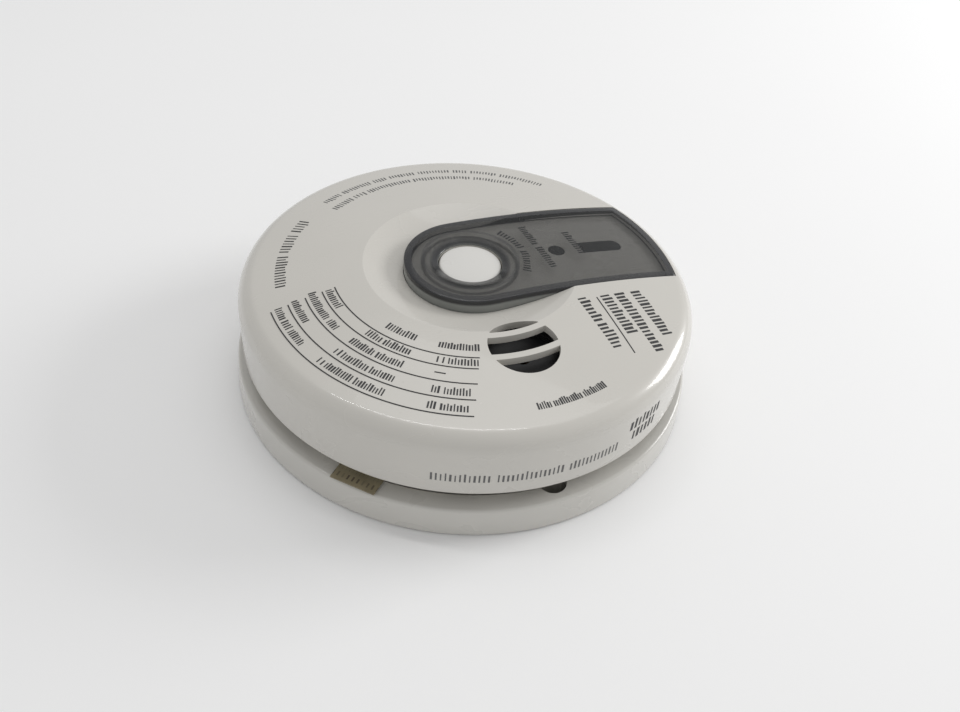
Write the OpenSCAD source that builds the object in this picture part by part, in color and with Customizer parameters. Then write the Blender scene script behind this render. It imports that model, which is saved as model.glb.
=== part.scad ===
// Battery carbon monoxide detector on a twist-off wall bracket.
// Z = 0 is the wall, +Z leaves the wall, and the round body is centred on the Z axis.
// +Y runs along the grey lens, and +X points from the centre to the horn opening.

/* [Body] */
// Outside diameter of the wall bracket
body_d = 127; // [124:1:153]
// Height from the wall to the middle of the domed face
body_h = 36; // [36:0.1:44]
// Radius of the sphere that the face is part of
dome_r = 320; // [250:5:600]
// How far the cover's wall stands inside the bracket's rim
cover_setback = 2.3; // [1:0.1:4]
// Radius of the cover's rounded shoulder
shoulder_r = 5.2; // [4:0.1:7]
// Wall of the cover and the housing
wall = 2; // [1.6:0.1:2.4]

/* [Bracket] */
// Thickness of the bracket's back plate
plate_t = 2; // [1.8:0.1:2.6]
// Height of the bracket's raised rim at its inner edge
rim_h = 8.6; // [8:0.1:10]
// Height of the open gap between the bracket and the cover
gap_h = 4.1; // [3.8:0.1:5]
// How deep the open gap runs in under the cover
gap_depth = 4; // [3.4:0.1:5]
// Angle that the detector turns through to come off the bracket
twist_angle = 20; // [18:1:25]
// Distance between the two wall screws
screw_spacing = 60; // [50:1:70]
// Width of the slots for the wall screws
screw_slot_w = 4.5; // [4:0.1:5.5]
// Length of the slots for the wall screws
screw_slot_l = 12; // [10:0.5:16]
// Diameter of the release hole in the rim
release_d = 7.4; // [6:0.1:9]

/* [Face] */
// Diameter of the dished ring around the lens
dish_d = 57.2; // [50:0.1:66]
// Depth of the dished ring's floor below the middle of the face
dish_depth = 4.3; // [3.5:0.1:4.6]
// Width of the grey lens
lens_w = 35.6; // [29:0.1:43]
// Thickness of the lens
lens_t = 1.8; // [1.4:0.1:2.2]
// Diameter of the test button
button_d = 16.6; // [13:0.1:20]
// How far the top of the button lies below the middle of the face
button_sink = 1.6; // [1:0.1:2]
// Travel of the test button
button_travel = 0.6; // [0.3:0.1:0.8]
// Diameter of the horn opening
horn_d = 18; // [15:0.1:22]
// Distance from the centre of the face to the horn opening
horn_place = 34.2; // [32:0.1:38]
// Width of one louvre bar across the horn opening
louvre_w = 1.7; // [1.4:0.1:2.2]
// Distance from one louvre bar to the next
louvre_pitch = 7.1; // [6:0.1:8]
// Diameter of the round light window
status_window_d = 4.8; // [4:0.1:6]
// Distance from the centre of the face to the round light window
status_place = 26.1; // [25:0.1:28]
// Width of the long light window
alarm_window_w = 5; // [4:0.1:6]
// Length of the long light window
alarm_window_l = 13.3; // [11:0.1:15]
// Distance from the centre of the face to the inner end of the long window
alarm_place = 33.7; // [32:0.1:36]

/* [Battery] */
// Diameter of the lithium cell
battery_d = 17; // [14:0.1:17.5]
// Length of the lithium cell with its button end
battery_l = 34.5; // [28:0.1:35]
// Distance from the Z axis to the cell's axis
battery_place = 30; // [29:0.1:31]
// Direction in which the pull tab comes out, anticlockwise from +X
tab_angle = -47.5; // [-52:0.5:-44]
// Width of the pull tab's visible end
tab_w = 12; // [9:0.5:14]

/* [Hidden] */
$fn = 96;

eps = 0.01;          // how far a cutter passes the face that it cuts
far = 200;           // longer than any part of the detector
fit = 0.1;           // clearance of a piece that is pushed into its seat
run = 0.15;          // clearance of a piece that slides
slack = 0.3;         // clearance that is never meant to close

// Round body: radii and heights
bracket_r = body_d / 2;
rim_draft = 0.6;
rim_r = 1.5;
rim_wall = 1.6;
cover_r = bracket_r - cover_setback;
cover_z = rim_h + gap_h;
neck_r = cover_r - gap_depth;
neck_in = neck_r - 1.8;
dome_z = body_h - dome_r;
shoulder_x = cover_r - shoulder_r;
// the shoulder's arc stands a hair above the dome, so that the two cross cleanly
shoulder_z = dome_z + sqrt(pow(dome_r - shoulder_r, 2) - pow(shoulder_x, 2)) + 0.05;
flange_z = cover_z + 0.7;
flange_t = 1.6;
floor_z = plate_t + 3.4;   // leaves room for the heads of the wall screws
floor_t = 1.6;
floor_top = floor_z + floor_t;
foot_z = plate_t + 0.6;

// Face
lens_r = lens_w / 2;
lens_end = cover_r - 3.6;
skirt_t = 1.6;
dish_r = dish_d / 2;
dish_floor = body_h - dish_depth;
dish_rim = dome_z + sqrt(dome_r * dome_r - dish_r * dish_r);
dish_run = dish_r - lens_r;
dish_rise = dish_rim - dish_floor;
// the dish is part of a sphere that passes through its floor at the lens and its crisp edge
dish_c = (dish_run * (dish_r + lens_r) / dish_rise + dish_rim + dish_floor) / 2;
dish_curve = norm([dish_r, dish_c - dish_rim]);
core_z = dish_floor - 1.8;
skirt_z = dish_floor - 0.4;
bed_t = lens_t + wall;
bed_edge = 1.6;
button_r = button_d / 2;
button_bore = button_r + slack;
button_z = body_h - button_sink;
button_crown = 0.35;
collar_r = button_bore + 3.1;
collar_drop = 1.25;

// Battery and board
well_half = battery_d / 2 + 0.4;
well_wall = 1.4;
well_start = -1.6;
spring_room = 3.5;
well_end = battery_l + spring_room;
battery_z = foot_z + 0.2 + battery_d / 2;
well_roof = battery_z + well_half;
board_z = well_roof + well_wall + 0.4;
board_t = 1.6;
board_top = board_z + board_t;
board_r = neck_in - 10;

// Test switch
switch_w = 6;
switch_h = 3.5;
plunger_top = board_top + 4.5;

// Horn
sounder_r = 13.5;
gasket_t = 0.4;
// the gasket may rise past the lens core only where the lens doesn't reach over it
sounder_rise = horn_place - sounder_r > lens_r + bed_edge + slack ? 0.3 : 0;
sounder_top = min(face_under(horn_place + sounder_r), core_z + sounder_rise) - gasket_t - 0.1;

// Sensing cell
cell_at = [-22, 8];
cell_r = 9.6;
cell_cap_z = floor_top + 1.2;
cell_cap_h = 2;
cell_z = cell_cap_z + cell_cap_h + 0.4;

// Tamper plunger
tamper_at = [-37.6, -13.7];
tamper_r = 1.6;
tamper_travel = 1.2;
tamper_tip = plate_t + 0.1;
guide_z = foot_z + 0.6;
guide_top = floor_top + 1.6;
tamper_collar = guide_top + tamper_travel + 0.1;
tamper_switch_z = board_z - 4;
spring_wire = 0.3;

// Bayonet and bracket
rib_end = battery_place - well_half - well_wall - 1.5;
bayonet_angles = [100, 220, 340];
tab_width_deg = 4.4;
notch_width_deg = 5.8;
bayonet_r = neck_r + 1.6;
ring_under = rim_h - 1.6;

// Screws
boss_at = neck_in - 5.4;
boss_angles = [30, 150, 240];
boss_split = board_z - 4;
post_at = board_r - 4.5;
post_angles = [45, 135, 170];

// Small parts on the board: place, length, width
resistor_places = [
  [-8, 12], [-8, 15], [-8, 18], [12, 12], [12, 15], [12, 18],
  [-8, -22], [-4, -22], [0, -22], [10, 24], [14, 24]
];
capacitor_places = [[-12, -22], [-29, -12], [-29, -15], [-11, -16], [8, -14], [12, -14]];

// Height of the cover's inner face at distance r from the Z axis
function face_under(r) = dome_z + sqrt(pow(dome_r - wall, 2) - r * r);

// ---------- shared shapes ----------

// Half section of the cover's outside from z_low up, moved in by inset.
module face_section(inset, z_low) {
  intersection() {
    translate([0, dome_z]) circle(r = dome_r - inset, $fn = 1440);
    union() {
      translate([0, z_low]) square([cover_r - inset, shoulder_z - z_low]);
      translate([0, z_low]) square([shoulder_x, body_h + 1 - z_low]);
      translate([shoulder_x, shoulder_z]) circle(r = shoulder_r - inset);
    }
  }
}

module face_solid(inset, z_low) {
  rotate_extrude($fn = 180) face_section(inset, z_low);
}

// The round dish around the lens, deeper by drop and kept above z_low.
module dish_bowl(drop, z_low) {
  rotate_extrude($fn = 180) intersection() {
    translate([0, dish_c]) circle(r = dish_curve + drop, $fn = 720);
    translate([0, z_low]) square([dish_r + 4, body_h + 1 - z_low]);
  }
}

// Outline of the grey lens seen from the front, grown by g all round.
module lens_outline(g) {
  intersection() {
    union() {
      circle(r = lens_r + g);
      translate([-lens_r - g, 0]) square([2 * (lens_r + g), lens_end + 5]);
    }
    circle(r = lens_end + g);
  }
}

module lens_block(g, z_low) {
  translate([0, 0, z_low]) linear_extrude(body_h + 2 - z_low) lens_outline(g);
}

// Outline of the long light window, square at its inner end and round at the other.
module alarm_outline(g) {
  half = alarm_window_w / 2;
  straight = alarm_window_l - half;
  translate([-half - g, alarm_place - g]) square([2 * (half + g), straight + g]);
  translate([0, alarm_place + straight]) circle(r = half + g);
}

module tube(r_in, r_out, h) {
  difference() {
    cylinder(r = r_out, h = h);
    translate([0, 0, -1]) cylinder(r = r_in, h = h + 2);
  }
}

// Part of a ring, its middle at the given angle.
module arc_block(r_in, r_out, z_low, h, middle, width) {
  rotate([0, 0, middle - width / 2])
    rotate_extrude(angle = width)
      translate([r_in, z_low]) square([r_out - r_in, h]);
}

module polar(radius, angle) {
  rotate([0, 0, angle]) translate([radius, 0, 0]) children();
}

// A box centred in X and Y that stands on z = 0.
module chip(length, width, height) {
  translate([-length / 2, -width / 2, 0]) cube([length, width, height]);
}

// The battery's own frame: x runs out along the pull tab, y along the cell from its button end.
module at_battery() {
  rotate([0, 0, tab_angle]) mirror([0, 1, 0]) children();
}

// A coil spring along Z, as a tube of six sides swept along a helix.
module coil_spring(r, wire, height, turns) {
  steps = round(turns * 20);
  sides = 6;
  climb = height - 2 * wire;
  points = [
    for (i = [0 : steps], j = [0 : sides - 1])
      let (a = 360 * turns * i / steps, b = 360 * j / sides, across = r + wire * cos(b))
        [across * cos(a), across * sin(a), wire + climb * i / steps + wire * sin(b)]
  ];
  skin = [
    for (i = [0 : steps - 1], j = [0 : sides - 1])
      let (k = (j + 1) % sides)
        [i * sides + j, (i + 1) * sides + j, (i + 1) * sides + k, i * sides + k]
  ];
  start = [[for (j = [0 : sides - 1]) j]];
  finish = [[for (j = [sides - 1 : -1 : 0]) steps * sides + j]];
  polyhedron(points = points, faces = concat(skin, start, finish));
}

// ---------- wall bracket ----------

module rim_section() {
  top_z = rim_h - 0.35;
  corner_x = bracket_r - rim_draft - rim_r;
  polygon([
    [0, 0], [bracket_r, 0], [bracket_r - rim_draft, top_z - rim_r], [corner_x, top_z - rim_r],
    [corner_x, top_z], [neck_r + 0.6, rim_h], [neck_r + 0.6, ring_under],
    [bracket_r - rim_draft - rim_wall, ring_under - 0.4], [bracket_r - rim_wall - 0.2, plate_t],
    [0, plate_t]
  ]);
  translate([corner_x, top_z - rim_r]) circle(r = rim_r);
}

module screw_slot() {
  straight = (screw_slot_l - screw_slot_w) / 2;
  translate([0, 0, -1]) linear_extrude(plate_t + 2) {
    square([2 * straight, screw_slot_w], center = true);
    for (side = [-1, 1]) translate([side * straight, 0]) circle(d = screw_slot_w);
  }
}

// The ramp that lets the tamper plunger drop as the detector turns off the bracket.
module tamper_ramp() {
  r = norm(tamper_at);
  start = atan2(tamper_at[1], tamper_at[0]);
  run_l = 2 * r * sin(twist_angle / 2);
  landing = tamper_r + 0.8;
  bottom = plate_t - tamper_travel - 0.1;
  rotate([0, 0, start + twist_angle / 2])
    translate([r * cos(twist_angle / 2), -run_l / 2, 0])
      rotate([90, 0, 90]) translate([0, 0, -landing]) linear_extrude(2 * landing)
        polygon([
          [0, plate_t + eps], [run_l + landing, plate_t + eps],
          [run_l + landing, bottom], [run_l, bottom]
        ]);
}

module mounting_bracket() {
  color([0.86, 0.85, 0.82]) difference() {
    union() {
      rotate_extrude($fn = 180) rim_section();
      // stops that the bayonet tabs meet when the detector is locked
      for (a = bayonet_angles)
        arc_block(neck_r + 0.8, bracket_r - rim_wall, plate_t - eps, ring_under - plate_t + 0.2,
                  a - tab_width_deg / 2 - 1.9, 3);
      // ribs that stiffen the plate, short of the battery well's path
      for (a = [60 : 120 : 300])
        rotate([0, 0, a]) translate([7, -0.8, plate_t - eps]) cube([rib_end - 7, 1.6, 0.9]);
    }
    // notches that let the bayonet tabs through after the twist
    for (a = bayonet_angles)
      arc_block(neck_r, bayonet_r + slack, ring_under - 1, 4, a + twist_angle, notch_width_deg);
    for (side = [-1, 1]) translate([side * screw_spacing / 2, 0, 0]) screw_slot();
    // release hole, open to the inside of the rim
    translate([neck_r - slack, 0, plate_t]) cylinder(d = release_d, h = rim_h);
    tamper_ramp();
  }
}

// ---------- housing ----------

module housing_section() {
  polygon([
    [0, floor_z], [neck_in, floor_z], [neck_in, foot_z], [neck_r, foot_z], [neck_r, flange_z],
    [cover_r - wall - 0.2, flange_z], [cover_r - wall - 0.2, flange_z + flange_t],
    [neck_in, flange_z + flange_t], [neck_in, floor_top], [0, floor_top]
  ]);
}

module rear_housing() {
  vent_n = 24;
  color([0.84, 0.83, 0.80]) difference() {
    union() {
      rotate_extrude($fn = 180) housing_section();
      for (a = bayonet_angles)
        arc_block(neck_r - 0.3, bayonet_r, ring_under - 2.1, 1.8, a, tab_width_deg);
      // walls of the battery well
      intersection() {
        at_battery()
          translate([battery_place - well_half - well_wall, well_start - well_wall, foot_z])
            cube([2 * (well_half + well_wall), well_end - well_start + 2 * well_wall,
                  board_z - foot_z]);
        cylinder(r = neck_in + eps, h = body_h);
      }
      for (a = boss_angles) polar(boss_at, a)
        translate([0, 0, floor_z]) cylinder(r = 4.2, h = boss_split - floor_z);
      for (a = post_angles) polar(post_at, a)
        translate([0, 0, floor_z]) cylinder(r = 2.8, h = board_z - floor_z);
      translate([tamper_at[0], tamper_at[1], guide_z]) cylinder(r = 3.2, h = guide_top - guide_z);
    }
    // space for the cell, open at the back
    at_battery() translate([battery_place - well_half, well_start, foot_z - 1])
      cube([2 * well_half, well_end - well_start, well_roof - foot_z + 1]);
    // slots for the two contacts
    at_battery() for (y = [well_start, well_end - 1.2])
      translate([battery_place - 3.3, y, well_roof - 1]) cube([6.6, 1.2, 6]);
    // slit for the pull tab's tongue
    at_battery() translate([battery_place, -0.7, rim_h + 0.1])
      cube([bracket_r, 0.9, cover_z - rim_h - 0.05]);
    for (a = boss_angles) polar(boss_at, a) {
      translate([0, 0, floor_z - 1]) cylinder(r = 3, h = 5);
      translate([0, 0, floor_z]) cylinder(r = 1.7, h = far / 8);
    }
    for (a = post_angles) polar(post_at, a)
      translate([0, 0, board_z - 7]) cylinder(r = 1.15, h = 8);
    translate([tamper_at[0], tamper_at[1], 0]) cylinder(r = tamper_r + run, h = body_h);
    // vents in the neck, in the shadow of the cover
    for (i = [0 : vent_n - 1])
      if (abs(i * 360 / vent_n - (360 + tab_angle)) > 14)
        arc_block(neck_in - 1, neck_r + 1, rim_h + 0.9, 2.2, (i + 0.5) * 360 / vent_n, 8);
    // groove that lines up with the release hole
    translate([neck_r + 2.2, 0, foot_z - 1]) cylinder(d = release_d, h = rim_h - foot_z + 1);
  }
}

// ---------- cover ----------

module cover_cavity() {
  difference() {
    face_solid(wall, cover_z - 1);
    dish_bowl(wall, core_z);
    // bed that carries the lens, thicker where its skirt stands in a groove
    difference() {
      lens_block(bed_edge, shoulder_z - 2);
      face_solid(bed_t, cover_z - 1);
    }
    intersection() {
      lens_block(bed_edge, core_z);
      cylinder(r = dish_r + 1.4, h = far);
    }
    // bosses for the housing screws
    for (a = boss_angles) polar(boss_at, a)
      translate([0, 0, boss_split]) cylinder(r = 3.2, h = body_h);
  }
}

module skirt_ring(g, z_low) {
  intersection() {
    difference() {
      lens_block(g, z_low);
      lens_block(-skirt_t - g, z_low - 1);
    }
    cylinder(r = dish_r + 0.4 + g, h = far);
  }
}

module horn_cut() {
  first = dish_r + 0.4;
  difference() {
    translate([horn_place, 0, core_z - 4]) cylinder(d = horn_d, h = body_h);
    for (i = [0, 1])
      translate([0, 0, core_z - 5])
        tube(first + i * louvre_pitch, first + i * louvre_pitch + louvre_w, body_h + 2);
  }
}

module front_cover() {
  color([0.88, 0.87, 0.84]) difference() {
    face_solid(0, cover_z);
    cover_cavity();
    // dished ring, left out under the lens
    difference() {
      dish_bowl(0, cover_z);
      lens_block(-fit, cover_z);
    }
    // pocket for the lens and groove for its skirt
    difference() {
      lens_block(fit, cover_z);
      face_solid(lens_t + fit, cover_z - 1);
    }
    skirt_ring(fit, skirt_z - fit);
    cylinder(r = button_bore, h = far);
    translate([0, status_place, 0]) cylinder(d = status_window_d, h = far);
    linear_extrude(far) alarm_outline(0);
    horn_cut();
    for (a = boss_angles) polar(boss_at, a)
      translate([0, 0, boss_split - 1]) cylinder(r = 1.45, h = 8.5);
  }
}

module status_lens() {
  color([0.42, 0.43, 0.42]) difference() {
    union() {
      intersection() {
        lens_block(0, cover_z);
        difference() {
          face_solid(0, cover_z);
          face_solid(lens_t, cover_z - 1);
        }
      }
      intersection() {
        skirt_ring(0, skirt_z);
        face_solid(lens_t - 0.2, cover_z);
      }
    }
    cylinder(r = button_bore, h = far);
    translate([0, 0, body_h - collar_drop - 0.1])
      cylinder(r1 = button_bore - 0.1, r2 = collar_r, h = collar_drop);
    translate([0, 0, body_h - 0.1 - eps]) cylinder(r = collar_r, h = 2);
  }
}

module test_button() {
  flange_top = core_z - 0.15;
  crown_r = (button_r * button_r + button_crown * button_crown) / (2 * button_crown);
  color([0.92, 0.91, 0.89]) difference() {
    union() {
      intersection() {
        translate([0, 0, flange_top - 1]) cylinder(r = button_r, h = 20);
        translate([0, 0, button_z - crown_r]) sphere(r = crown_r, $fn = 360);
      }
      translate([0, 0, flange_top - 1.1]) cylinder(r = button_bore + 1, h = 1.1);
    }
    translate([0, 0, flange_top - 5]) cylinder(r = button_r - 1.6, h = button_z - flange_top + 3);
  }
  color([0.92, 0.91, 0.89]) translate([0, 0, plunger_top + 0.05])
    cylinder(r = 2.4, h = button_z - 1.2 - plunger_top);
}

// ---------- lights ----------

module alarm_light_pipe() {
  bed_low = dome_z + sqrt(pow(dome_r - bed_t, 2) - pow(alarm_place + alarm_window_l + 1, 2));
  color([0.80, 0.82, 0.82, 0.6]) {
    intersection() {
      translate([0, 0, board_top + 2.2]) linear_extrude(body_h) alarm_outline(-fit);
      face_solid(lens_t + 2 * fit, cover_z);
    }
    translate([0, 0, bed_low - 1.4]) linear_extrude(1) alarm_outline(0.8);
  }
}

module status_light_pipe() {
  color([0.80, 0.82, 0.82, 0.6]) translate([0, status_place, 0]) {
    intersection() {
      translate([0, 0, board_top + 2.2]) cylinder(d = status_window_d - 2 * fit, h = body_h);
      translate([0, -status_place, 0]) face_solid(lens_t + 2 * fit, cover_z);
    }
    translate([0, 0, core_z - 1.2]) cylinder(d = status_window_d + 1.6, h = 1);
  }
}

module led(y) {
  translate([0, y, board_top]) {
    chip(3.2, 2.8, 1.2);
    translate([0, 0, 1.2]) cylinder(r1 = 1.2, r2 = 0.9, h = 0.6);
  }
}

module alarm_led() {
  color([0.8, 0.25, 0.2])
    for (t = [0.3, 0.7]) led(alarm_place + t * alarm_window_l);
}

module status_led() {
  color([0.75, 0.8, 0.35]) led(status_place);
}

// ---------- board ----------

module main_board() {
  color([0.12, 0.36, 0.2]) difference() {
    translate([0, 0, board_z]) cylinder(r = board_r, h = board_t);
    for (a = post_angles) polar(post_at, a) cylinder(r = 1.4, h = far);
    translate([cell_at[0], cell_at[1], 0]) for (a = [90 : 120 : 330])
      polar(5.5, a) cylinder(r = 0.7, h = far);
    for (side = [-1, 1]) translate([horn_place - 8, side * 3, 0]) cylinder(r = 0.6, h = far);
    at_battery() for (y = [well_start, well_end - 1.2])
      translate([battery_place - 3.2, y, 0]) cube([6.4, 1.2, far]);
  }
}

module test_switch_body() {
  color([0.15, 0.15, 0.16]) translate([0, 0, board_top]) difference() {
    chip(switch_w, switch_w, switch_h);
    translate([0, 0, 1]) cylinder(r = 1.9, h = 4);
  }
}

module test_switch_plunger() {
  color([0.25, 0.2, 0.18]) translate([0, 0, board_top + 1 + button_travel + 0.1])
    cylinder(r = 1.7, h = plunger_top - board_top - 1.1 - button_travel);
}

module microcontroller() {
  color([0.1, 0.1, 0.11]) translate([-19, -10, board_top]) {
    chip(9, 9, 1.3);
    for (turn = [0 : 90 : 270]) rotate([0, 0, turn])
      for (i = [-3 : 3]) translate([i * 1.1, 4.5, 0]) chip(0.4, 1.8, 0.7);
  }
}

module horn_driver() {
  color([0.1, 0.1, 0.11]) translate([16, -17, board_top]) {
    chip(5, 4, 1.5);
    for (side = [-1, 1], i = [-1.5 : 1.5]) translate([i * 1.2, side * 2.3, 0]) chip(0.45, 1.6, 0.7);
  }
}

module horn_transformer() {
  color([0.2, 0.19, 0.19]) translate([28, -24, board_top]) {
    cylinder(r = 4, h = 0.9);
    cylinder(r = 2.6, h = 4.6);
    translate([0, 0, 3.8]) cylinder(r = 4, h = 0.9);
  }
}

module storage_capacitor() {
  color([0.35, 0.38, 0.45]) translate([6, -35, board_top]) {
    cylinder(r = 3.15, h = 5.2);
    chip(6.6, 6.6, 0.8);
  }
}

module chip_resistors() {
  color([0.1, 0.1, 0.1])
    for (p = resistor_places) translate([p[0], p[1], board_top]) chip(2, 1.25, 0.5);
}

module chip_capacitors() {
  color([0.66, 0.55, 0.42])
    for (p = capacitor_places) translate([p[0], p[1], board_top]) chip(2, 1.25, 0.9);
}

module crystal() {
  color([0.75, 0.76, 0.78]) translate([-33, 4, board_top]) {
    translate([-2.6, 0, 0]) cylinder(r = 1.6, h = 3);
    translate([2.6, 0, 0]) cylinder(r = 1.6, h = 3);
    chip(5.2, 3.2, 3);
  }
}

module radio_shield() {
  color([0.72, 0.73, 0.74]) translate([-13, 31, board_top]) difference() {
    chip(14, 12, 2.2);
    translate([0, 0, -1]) chip(13.2, 11.2, 2.8);
  }
}

module wire_antenna() {
  at = board_r - 2.5;
  lift = board_top + 2.6;
  color([0.75, 0.5, 0.3]) {
    rotate([0, 0, 200]) rotate_extrude(angle = 75) translate([at, lift]) circle(r = 0.45);
    polar(at, 200.3) translate([0, 0, board_top]) cylinder(r = 0.4, h = lift - board_top);
  }
}

// ---------- horn ----------

module sounder_gasket() {
  color([0.12, 0.12, 0.12]) translate([horn_place, 0, sounder_top])
    tube(horn_d / 2 + 1.2, sounder_r, gasket_t);
}

module sounder_housing() {
  bottom = board_top + 1.2;
  height = sounder_top - bottom;
  color([0.06, 0.06, 0.06]) translate([horn_place, 0, bottom]) difference() {
    cylinder(r = sounder_r, h = height);
    translate([0, 0, -1]) cylinder(r = sounder_r - 1.2, h = 1 + 1.6);
    cylinder(r = sounder_r - 3, h = height - 1.2);
    // sound port
    cylinder(r = 2, h = far);
    translate([0, 0, height - 0.4]) cylinder(r = horn_d / 2 + 0.6, h = 1);
  }
}

module piezo_disc() {
  color([0.78, 0.62, 0.3]) translate([horn_place, 0, board_top + 2]) cylinder(r = 12, h = 0.25);
}

module piezo_ceramic() {
  color([0.85, 0.85, 0.83]) translate([horn_place, 0, board_top + 1.8])
    cylinder(r = 8.5, h = 0.2);
}

module sounder_cap() {
  color([0.08, 0.08, 0.08]) translate([horn_place, 0, board_top]) difference() {
    union() {
      cylinder(r = sounder_r, h = 1.2);
      tube(sounder_r - 2.6, sounder_r - 1.4, 2);
    }
    for (side = [-1, 1]) translate([-8, side * 3, -1]) cylinder(r = 0.6, h = 6);
  }
}

module sounder_pins() {
  color([0.8, 0.8, 0.8]) for (side = [-1, 1])
    translate([horn_place - 8, side * 3, board_z - 0.8]) cylinder(r = 0.4, h = board_t + 2.4);
}

// ---------- sensing cell ----------

module co_cell_can() {
  color([0.75, 0.76, 0.77]) translate([cell_at[0], cell_at[1], cell_z])
    cylinder(r = cell_r, h = board_z - 0.4 - cell_z);
}

module co_cell_gasket() {
  color([0.2, 0.2, 0.2]) translate([cell_at[0], cell_at[1], cell_z - 0.4])
    tube(cell_r - 2, cell_r, 0.4);
}

module co_cell_cap() {
  color([0.9, 0.9, 0.88]) translate([cell_at[0], cell_at[1], cell_cap_z]) difference() {
    cylinder(r = cell_r + 0.6, h = cell_cap_h);
    translate([0, 0, -1]) cylinder(r = 2, h = 4);
  }
}

module co_cell_pins() {
  color([0.8, 0.75, 0.5]) translate([cell_at[0], cell_at[1], board_z - 0.4])
    for (a = [90 : 120 : 330]) polar(5.5, a) cylinder(r = 0.5, h = board_t + 1.4);
}

// ---------- tamper ----------

module tamper_switch() {
  color([0.15, 0.15, 0.16]) translate([tamper_at[0], tamper_at[1], tamper_switch_z])
    chip(5.4, 5.4, 4);
}

module tamper_plunger() {
  color([0.85, 0.84, 0.8]) translate([tamper_at[0], tamper_at[1], 0]) {
    translate([0, 0, tamper_tip + tamper_r]) {
      sphere(r = tamper_r);
      cylinder(r = tamper_r, h = tamper_switch_z - 0.1 - tamper_tip - tamper_r);
    }
    translate([0, 0, tamper_collar]) cylinder(r = 3, h = 1);
  }
}

module tamper_spring() {
  foot = tamper_collar + 1 + 0.05;
  color([0.7, 0.71, 0.73]) translate([tamper_at[0], tamper_at[1], foot])
    coil_spring(2.3, spring_wire, tamper_switch_z - 0.05 - foot, 6);
}

// ---------- battery ----------

module battery() {
  color([0.25, 0.3, 0.4]) at_battery() translate([battery_place, 0.6, battery_z]) rotate([-90, 0, 0]) {
    cylinder(d = 6.4, h = 1.5);
    translate([0, 0, 1]) cylinder(d = battery_d, h = battery_l - 1);
  }
}

module battery_plus_contact() {
  color([0.8, 0.78, 0.7]) at_battery() {
    translate([battery_place - 3, well_start + 0.1, foot_z + 2])
      cube([6, 0.4, board_top + 0.6 - foot_z - 2]);
    // dimple that presses on the cell
    translate([battery_place, well_start + 0.5 - eps, rim_h + 2]) rotate([-90, 0, 0])
      cylinder(r1 = 2, r2 = 1.4, h = 0.5);
  }
}

module battery_minus_plate() {
  color([0.8, 0.78, 0.7]) at_battery()
    translate([battery_place - 3, well_end - 0.5, foot_z + 2])
      cube([6, 0.4, board_top + 0.6 - foot_z - 2]);
}

module battery_spring() {
  from = 0.6 + battery_l;
  color([0.7, 0.71, 0.73]) at_battery() translate([battery_place, from + 0.05, battery_z])
    rotate([-90, 0, 0]) coil_spring(3.6, 0.35, well_end - 0.55 - from - 0.05, 2.5);
}

module battery_pull_tab() {
  film = 0.2;
  low = rim_h + 0.3;
  tip = bracket_r - 0.5;
  color([0.55, 0.42, 0.25]) at_battery() {
    translate([neck_r + 0.2, -tab_w / 2, low]) cube([tip - neck_r - 0.2, tab_w, film]);
    translate([battery_place - 4, 0, low]) cube([neck_r + 0.4 - battery_place + 4, film, 3.4]);
  }
}

// ---------- fasteners and label ----------

module screw(shank_r, shank_l, head_r, head_h) {
  cylinder(r = head_r, h = head_h);
  translate([0, 0, head_h - eps]) cylinder(r = shank_r, h = shank_l);
}

module housing_screws() {
  color([0.72, 0.72, 0.74]) for (a = boss_angles) polar(boss_at, a)
    translate([0, 0, floor_z + 1.9]) difference() {
      screw(1.4, boss_split - floor_z + 1.5, 2.7, 2.1);
      translate([0, 0, -1]) chip(3.2, 0.7, 1.8);
      translate([0, 0, -1]) chip(0.7, 3.2, 1.8);
    }
}

module board_screws() {
  color([0.72, 0.72, 0.74]) for (a = post_angles) polar(post_at, a)
    translate([0, 0, board_top]) {
      difference() {
        cylinder(r = 2.3, h = 1.5);
        translate([0, 0, 0.7]) chip(2.6, 0.6, 2);
        translate([0, 0, 0.7]) chip(0.6, 2.6, 2);
      }
      translate([0, 0, -board_t - 4.5]) cylinder(r = 1.1, h = board_t + 4.5 + eps);
    }
}

module rating_label() {
  color([0.95, 0.95, 0.94]) translate([4, 22, floor_z - 0.15]) chip(34, 18, 0.15);
}

mounting_bracket();
rear_housing();
front_cover();
status_lens();
test_button();
alarm_light_pipe();
status_light_pipe();
main_board();
test_switch_body();
test_switch_plunger();
alarm_led();
status_led();
sounder_gasket();
sounder_housing();
piezo_disc();
piezo_ceramic();
sounder_cap();
sounder_pins();
co_cell_can();
co_cell_gasket();
co_cell_cap();
co_cell_pins();
microcontroller();
horn_driver();
horn_transformer();
storage_capacitor();
chip_resistors();
chip_capacitors();
crystal();
radio_shield();
wire_antenna();
tamper_switch();
tamper_plunger();
tamper_spring();
battery();
battery_plus_contact();
battery_minus_plate();
battery_spring();
battery_pull_tab();
housing_screws();
board_screws();
rating_label();
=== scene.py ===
# %% [markdown]
# # A round carbon monoxide alarm
# The alarm is a white drum on a shallow wall bracket. Its face is a very flat dome with a dished
# ring, a smoked lens that runs from the test button to the rim, and a louvred horn opening.
# The engineering model gives every solid its place. This lesson loads that model, builds finer
# pieces over the ones that show, and gives everything a finish made of shader nodes.

# %% Load the engineering model
import math

import bmesh
import bpy
from mathutils import Matrix, Vector


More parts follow.
